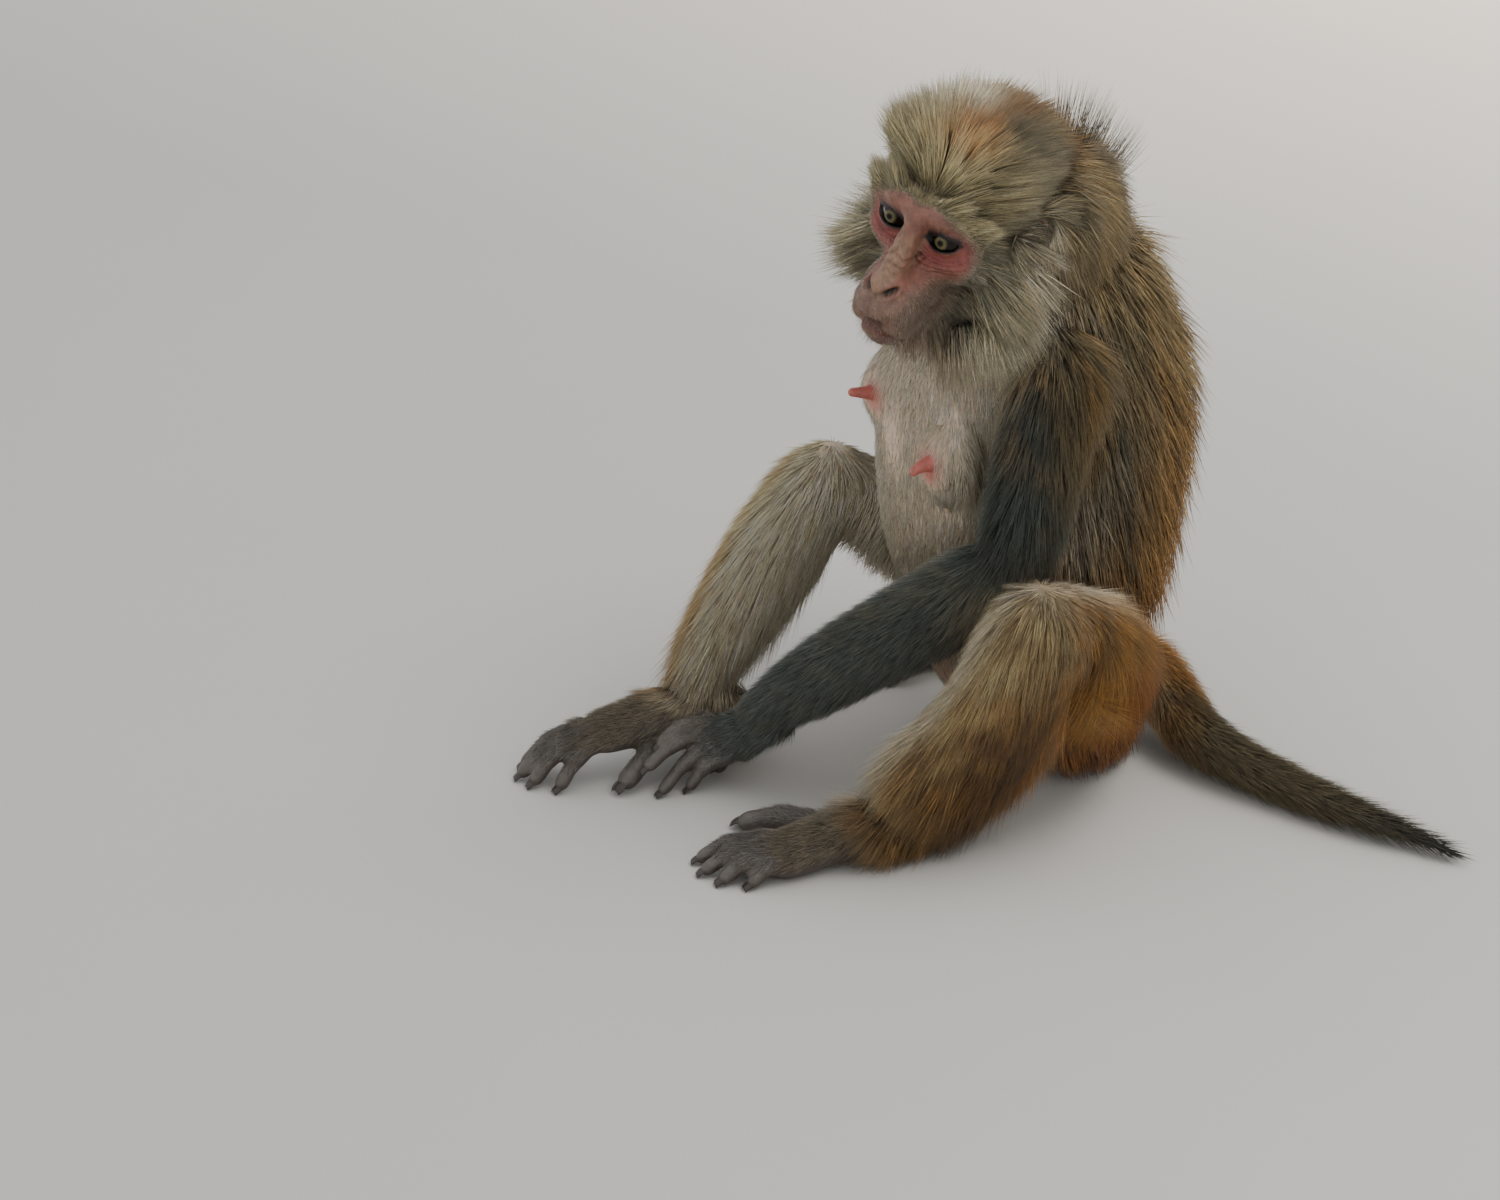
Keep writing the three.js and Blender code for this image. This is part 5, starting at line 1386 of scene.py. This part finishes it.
def uneven_group():
    """Colour made lighter and darker by noise: mottling of skin and small changes between tufts."""
    group = bpy.data.node_groups.new("uneven_tone", "ShaderNodeTree")
    face = group.interface
    face.new_socket("Colour", in_out="INPUT", socket_type="NodeSocketColor")
    face.new_socket("Scale", in_out="INPUT", socket_type="NodeSocketFloat")
    face.new_socket("Amount", in_out="INPUT", socket_type="NodeSocketFloat")
    face.new_socket("Colour", in_out="OUTPUT", socket_type="NodeSocketColor")
    nodes, links = group.nodes, group.links
    start, end = nodes.new("NodeGroupInput"), nodes.new("NodeGroupOutput")
    where = add_node(nodes, "ShaderNodeTexCoord")
    noise = add_node(nodes, "ShaderNodeTexNoise", Detail=4)
    links.new(where.outputs["Object"], noise.inputs["Vector"])
    links.new(start.outputs["Scale"], noise.inputs["Scale"])
    centred = add_node(nodes, "ShaderNodeMath", "SUBTRACT")
    centred.inputs[1].default_value = 0.5
    links.new(noise.outputs["Fac"], centred.inputs[0])
    scaled = add_node(nodes, "ShaderNodeMath", "MULTIPLY_ADD")
    scaled.inputs[2].default_value = 1.0
    links.new(centred.outputs[0], scaled.inputs[0])
    links.new(start.outputs["Amount"], scaled.inputs[1])
    links.new(shaded(nodes, links, start.outputs["Colour"], scaled.outputs[0]), end.inputs["Colour"])
    return group


def toned_group(nodes, scale, amount):
    """The uneven tone group as a node, with its scale and amount."""
    tone = nodes.new("ShaderNodeGroup")
    tone.node_tree = bpy.data.node_groups.get("uneven_tone") or uneven_group()
    set_inputs(tone, Scale=scale, Amount=amount)
    return tone


def tint_colour(nodes):
    """The tint attribute, as a socket."""
    tint = nodes.new("ShaderNodeVertexColor")
    tint.layer_name = "tint"
    return tint.outputs["Color"]


def skin_material():
    """Bare skin: the tint made uneven, with pores and fine creases in the bump."""
    material, nodes, links, shader = new_material("bare_skin")
    tone = toned_group(nodes, 220, 0.8)
    links.new(tint_colour(nodes), tone.inputs["Colour"])
    links.new(tone.outputs["Colour"], shader.inputs["Base Color"])
    set_inputs(shader, Roughness=0.52, Subsurface_Weight=0.12, Subsurface_Scale=1.0,
               Subsurface_Radius=(0.004, 0.0015, 0.001))
    where = add_node(nodes, "ShaderNodeTexCoord")
    pores = add_node(nodes, "ShaderNodeTexVoronoi", Scale=900)
    creases = add_node(nodes, "ShaderNodeTexNoise", Scale=320, Detail=6, Distortion=1.2)
    both = add_node(nodes, "ShaderNodeMath", "MULTIPLY_ADD")
    both.inputs[1].default_value = 0.5
    links.new(where.outputs["Object"], pores.inputs["Vector"])
    links.new(where.outputs["Object"], creases.inputs["Vector"])
    links.new(pores.outputs["Distance"], both.inputs[0])
    links.new(creases.outputs["Fac"], both.inputs[2])
    add_bump(nodes, links, shader, both.outputs[0], 0.55, 0.0006)
    return material


def coat_material():
    """Hair: each tuft's own tint, split along the tuft into fine light and dark strands, with some sheen."""
    material, nodes, links, shader = new_material("coat_hair")
    lines = nodes.new("ShaderNodeUVMap")
    lines.uv_map = "strand"
    hairs = add_node(nodes, "ShaderNodeTexNoise", Scale=3.4, Detail=2)
    links.new(lines.outputs["UV"], hairs.inputs["Vector"])
    shade = add_node(nodes, "ShaderNodeMapRange", From_Min=0.3, From_Max=0.7, To_Min=0.78, To_Max=1.22)
    links.new(hairs.outputs["Fac"], shade.inputs["Value"])
    tone = shaded(nodes, links, tint_colour(nodes), shade.outputs["Result"])
    links.new(tone, shader.inputs["Base Color"])
    add_bump(nodes, links, shader, hairs.outputs["Fac"], 0.5, 0.0004)
    set_inputs(shader, Roughness=0.55, Specular_IOR_Level=0.3, Sheen_Weight=0.08, Sheen_Roughness=0.35)
    return material


def eye_material():
    """Wet eye: black pupil, olive-brown iris with radial streaks and a dark ring, dark brown round it."""
    material, nodes, links, shader = new_material("wet_eye")
    set_inputs(shader, Roughness=0.06, Specular_IOR_Level=0.22)
    gaze = nodes.new("ShaderNodeUVMap")
    gaze.uv_map = "gaze"
    centre = add_node(nodes, "ShaderNodeVectorMath", "SUBTRACT")
    centre.inputs[1].default_value = (0.5, 0.5, 0)
    length = add_node(nodes, "ShaderNodeVectorMath", "LENGTH")
    links.new(gaze.outputs["UV"], centre.inputs[0])
    links.new(centre.outputs[0], length.inputs[0])
    ramp = nodes.new("ShaderNodeValToRGB")
    stops = [(0.0, "#040303"), (0.14, "#040303"), (0.17, "#423f2c"), (0.28, "#66603f"), (0.36, "#4e4930"),
             (0.42, "#241d15"), (0.48, "#120d09"), (1.0, "#1a120d")]
    elements = ramp.color_ramp.elements
    while len(elements) < len(stops):
        elements.new(0.5)
    for element, (at, code) in zip(elements, stops):
        element.position = at
        element.color = (*colour(code), 1)
    scale = add_node(nodes, "ShaderNodeMath", "MULTIPLY")
    scale.inputs[1].default_value = 2.0
    links.new(length.outputs["Value"], scale.inputs[0])
    links.new(scale.outputs[0], ramp.inputs["Fac"])
    direction = add_node(nodes, "ShaderNodeVectorMath", "NORMALIZE")
    links.new(centre.outputs[0], direction.inputs[0])
    streaks = add_node(nodes, "ShaderNodeTexNoise", Scale=14, Detail=3)
    links.new(direction.outputs[0], streaks.inputs["Vector"])
    shade = add_node(nodes, "ShaderNodeMapRange", To_Min=0.65, To_Max=1.25)
    links.new(streaks.outputs["Fac"], shade.inputs["Value"])
    tone = shaded(nodes, links, ramp.outputs["Color"], shade.outputs["Result"])
    links.new(tone, shader.inputs["Base Color"])
    return material


def nail_material():
    """Nails: dark horn with fine ridges along them."""
    material, nodes, links, shader = new_material("dark_horn")
    where = add_node(nodes, "ShaderNodeTexCoord")
    grain = add_node(nodes, "ShaderNodeTexNoise", Scale=700)
    ramp = nodes.new("ShaderNodeValToRGB")
    ramp.color_ramp.elements[0].color = (*colour("#1c1713"), 1)
    ramp.color_ramp.elements[1].color = (*colour("#4a4038"), 1)
    links.new(where.outputs["Object"], grain.inputs["Vector"])
    links.new(grain.outputs["Fac"], ramp.inputs["Fac"])
    links.new(ramp.outputs["Color"], shader.inputs["Base Color"])
    set_inputs(shader, Roughness=0.34)
    return material


def finish(thing, maker, slot, *stands_for):
    """Gives a piece its material, made once, and says what it rides on and which nodes it stands for."""
    if maker.__name__ not in MATERIALS:
        MATERIALS[maker.__name__] = maker()
    thing.data.materials.append(MATERIALS[maker.__name__])
    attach(thing, "root")
    if stands_for:
        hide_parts(*stands_for)


def floor_material(tone_colour):
    """Matt pale floor: broad faint clouds of tone and a fine grain in the bump."""
    material, nodes, links, shader = new_material("pale_floor")
    tone = toned_group(nodes, FLOOR_CLOUDS, 0.06)
    set_inputs(tone, Colour=(*tone_colour, 1))
    links.new(tone.outputs["Colour"], shader.inputs["Base Color"])
    set_inputs(shader, Roughness=0.9)
    where = add_node(nodes, "ShaderNodeTexCoord")
    grain = add_node(nodes, "ShaderNodeTexNoise", Scale=260)
    links.new(where.outputs["Object"], grain.inputs["Vector"])
    add_bump(nodes, links, shader, grain.outputs["Fac"], 0.12, 0.001)
    return material


# ---- Stage ----
def build_stage(settings):
    """Pale floor, soft lights and the camera."""
    bpy.ops.mesh.primitive_plane_add(size=FLOOR_SIZE, location=(0, 0, 0))
    floor = bpy.context.active_object
    floor.name = "floor"
    floor.data.materials.append(floor_material(settings.floor))
    for name, at, size, power, tone in LIGHTS:
        lamp = bpy.data.lights.new(name, "AREA")
        lamp.size = size
        lamp.energy = power * settings.lamps
        lamp.color = tone
        thing = bpy.data.objects.new(name, lamp)
        thing.location = at
        aim = np.array(LIGHTS_AIM) - np.array(at)
        yaw = math.atan2(aim[0], -aim[1])
        thing.rotation_euler = (math.acos(-aim[2] / np.linalg.norm(aim)), 0, yaw)
        bpy.context.scene.collection.objects.link(thing)
    world = bpy.data.worlds.new("studio")
    world.use_nodes = True
    sky = world.node_tree.nodes["Background"]
    sky.inputs["Color"].default_value = (*settings.sky, 1)
    sky.inputs["Strength"].default_value = settings.sky_strength
    bpy.context.scene.world = world
    camera = bpy.data.cameras.new("camera")
    camera.lens = settings.lens
    camera.sensor_width = SENSOR_WIDTH
    camera.clip_end = 50
    thing = bpy.data.objects.new("camera", camera)
    thing.location = CAMERA_AT
    thing.rotation_euler = [math.radians(a) for a in CAMERA_TURN]
    bpy.context.scene.collection.objects.link(thing)
    bpy.context.scene.camera = thing


# ---- Settings ----
def paint(name, description, default):
    """A colour setting."""
    return bpy.props.FloatVectorProperty(name=name, description=description, default=tuple(default), size=3,
                                         min=0.0, max=1.0, subtype="COLOR")


class MacaqueSkin(bpy.types.PropertyGroup):
    """Bare skin, and the hair's colours, which the skin under the coat takes too."""
    fold_depth: bpy.props.FloatProperty(
        name="Fold depth", description="Depth of the folds of the face, 1 as in life", default=1.0, min=0.0,
        max=2.0, subtype="FACTOR")
    face: paint("Face", "Skin round the eyes and on the cheeks", SKIN["face"])
    muzzle: paint("Muzzle", "Skin of the muzzle", SKIN["muzzle"])
    paw: paint("Paws", "Skin of the hands and feet", SKIN["paw"])
    crown: paint("Crown hair", "Hair on top of the head", FUR["crown"])
    olive: paint("Back hair", "Hair of the upper back", FUR["olive"])
    gold: paint("Gold hair", "Hair of the legs", FUR["gold"])
    rufous: paint("Rufous hair", "Hair of the rump and the backs of the legs", FUR["rufous"])
    cream: paint("Cream hair", "Hair of the chest and belly", FUR["cream"])
    slate: paint("Slate hair", "Hair of the lower arms", FUR["slate"])


class MacaqueCoat(bpy.types.PropertyGroup):
    """The tufts."""
    fullness: bpy.props.FloatProperty(
        name="Fullness", description="Share of the full number of tufts", default=1.0, min=0.05, max=1.0,
        subtype="FACTOR")
    length: bpy.props.FloatProperty(
        name="Hair length", description="Length of the hair, 1 as in life", default=1.0, min=0.3, max=1.5,
        subtype="FACTOR")
    seed: bpy.props.IntProperty(
        name="Seed", description="Start of the random draws for the tufts", default=SEED, min=0)


class MacaqueEyes(bpy.types.PropertyGroup):
    """The gaze."""
    turn_out: bpy.props.FloatProperty(
        name="Turn out", description="How far each eye turns away from the nose", default=math.radians(2),
        subtype="ANGLE", unit="ROTATION")
    turn_down: bpy.props.FloatProperty(
        name="Turn down", description="How far the eyes look down", default=math.radians(4),
        subtype="ANGLE", unit="ROTATION")


class MacaqueStage(bpy.types.PropertyGroup):
    """Floor, light and lens."""
    floor: paint("Floor", "Colour of the floor", colour("#c9c6be"))
    sky: paint("Sky", "Colour of the even light from all round", (0.95, 0.96, 1.0))
    sky_strength: bpy.props.FloatProperty(
        name="Sky strength", description="Strength of the even light", default=1.0, min=0.0, max=5.0)
    lamps: bpy.props.FloatProperty(
        name="Lamps", description="Strength of all the lamps, 1 as set out", default=1.0, min=0.0, max=5.0,
        subtype="FACTOR")
    lens: bpy.props.FloatProperty(
        name="Lens", description="Focal length of the camera", default=CAMERA_LENS, min=20.0, max=300.0,
        subtype="DISTANCE_CAMERA", unit="CAMERA")


class MacaqueSettings(bpy.types.PropertyGroup):
    """All settings of the model."""
    skin: bpy.props.PointerProperty(type=MacaqueSkin)
    coat: bpy.props.PointerProperty(type=MacaqueCoat)
    eyes: bpy.props.PointerProperty(type=MacaqueEyes)
    stage: bpy.props.PointerProperty(type=MacaqueStage)


# ---- Operators ----
class AddSkin(bpy.types.Operator):
    """Make the skin of body, head, hands, feet and tail in one piece, with the plan of the coat on it"""
    bl_idname = "macaque.add_skin"
    bl_label = "Add skin"

    def execute(self, context):
        settings = context.scene.macaque.skin
        for key in ("face", "muzzle", "paw"):
            SKIN[key] = np.array(getattr(settings, key))
        for key in ("crown", "olive", "gold", "rufous", "cream", "slate"):
            FUR[key] = np.array(getattr(settings, key))
        build_skin(settings)
        return {"FINISHED"}


class AddEyes(bpy.types.Operator):
    """Make the two eyeballs"""
    bl_idname = "macaque.add_eyes"
    bl_label = "Add eyes"

    def execute(self, context):
        build_eye("eye_ball_left", 1, context.scene.macaque.eyes)
        build_eye("eye_ball_right", -1, context.scene.macaque.eyes)
        return {"FINISHED"}


class AddNails(bpy.types.Operator):
    """Make the twenty nails"""
    bl_idname = "macaque.add_nails"
    bl_label = "Add nails"

    def execute(self, context):
        build_nails()
        return {"FINISHED"}


class CoatOperator:
    """Shared by the operators that grow the coat: each names its pieces."""
    pieces = ()

    def execute(self, context):
        if not PLAN:
            raise RuntimeError("the coat grows from the skin: add the skin first")
        for name in self.pieces:
            build_coat(name, context.scene.macaque.coat)
        return {"FINISHED"}


class AddHeadCoat(CoatOperator, bpy.types.Operator):
    """Grow the hair of crown, ruff and face"""
    bl_idname = "macaque.add_head_coat"
    bl_label = "Add head coat"
    pieces = ("coat_ruff", "coat_crown", "coat_face")


class AddTrunkCoat(CoatOperator, bpy.types.Operator):
    """Grow the hair of neck, back and chest, and the brush between the shoulders"""
    bl_idname = "macaque.add_trunk_coat"
    bl_label = "Add trunk coat"
    pieces = ("coat_neck", "coat_back", "coat_chest")

    def execute(self, context):
        super().execute(context)
        build_nape(context.scene.macaque.coat)
        return {"FINISHED"}


class AddArmCoat(CoatOperator, bpy.types.Operator):
    """Grow the hair of both arms"""
    bl_idname = "macaque.add_arm_coat"
    bl_label = "Add arm coat"
    pieces = ("coat_arm_left", "coat_arm_right")


class AddLegCoat(CoatOperator, bpy.types.Operator):
    """Grow the hair of both legs, down over the heels"""
    bl_idname = "macaque.add_leg_coat"
    bl_label = "Add leg coat"
    pieces = ("coat_leg_left", "coat_leg_right")


class AddTailCoat(CoatOperator, bpy.types.Operator):
    """Grow the hair of the tail"""
    bl_idname = "macaque.add_tail_coat"
    bl_label = "Add tail coat"
    pieces = ("coat_tail",)


class AddPawCoat(CoatOperator, bpy.types.Operator):
    """Grow the short hair on the backs of the hands and feet"""
    bl_idname = "macaque.add_paw_coat"
    bl_label = "Add paw coat"
    pieces = ("coat_paws",)


class AddStage(bpy.types.Operator):
    """Set up the floor, the lights and the camera"""
    bl_idname = "macaque.add_stage"
    bl_label = "Add stage"

    def execute(self, context):
        build_stage(context.scene.macaque.stage)
        return {"FINISHED"}


OPERATORS = (AddSkin, AddEyes, AddNails, AddHeadCoat, AddTrunkCoat, AddArmCoat, AddLegCoat, AddTailCoat,
             AddPawCoat, AddStage)


class MacaquePanel(bpy.types.Panel):
    """Settings and operators in the order of work"""
    bl_idname = "VIEW3D_PT_macaque"
    bl_label = "Seated macaque"
    bl_space_type = "VIEW_3D"
    bl_region_type = "UI"
    bl_category = "Macaque"

    def draw(self, context):
        settings = context.scene.macaque
        for group in (settings.skin, settings.coat, settings.eyes, settings.stage):
            box = self.layout.box()
            for key in group.__annotations__:
                box.prop(group, key)
        for operator in OPERATORS:
            self.layout.operator(operator.bl_idname)


CLASSES = (MacaqueSkin, MacaqueCoat, MacaqueEyes, MacaqueStage, MacaqueSettings) + OPERATORS + (MacaquePanel,)


def register():
    """Adds the classes and the scene's settings."""
    for item in CLASSES:
        bpy.utils.register_class(item)
    bpy.types.Scene.macaque = bpy.props.PointerProperty(type=MacaqueSettings)


def unregister():
    """Takes them away again."""
    del bpy.types.Scene.macaque
    for item in reversed(CLASSES):
        bpy.utils.unregister_class(item)


def main():
    """Builds every piece in order."""
    register()
    bpy.ops.macaque.add_skin()
    bpy.ops.macaque.add_eyes()
    bpy.ops.macaque.add_nails()
    bpy.ops.macaque.add_head_coat()
    bpy.ops.macaque.add_trunk_coat()
    bpy.ops.macaque.add_arm_coat()
    bpy.ops.macaque.add_leg_coat()
    bpy.ops.macaque.add_tail_coat()
    bpy.ops.macaque.add_paw_coat()
    bpy.ops.macaque.add_stage()


if __name__ == "__main__":
    main()
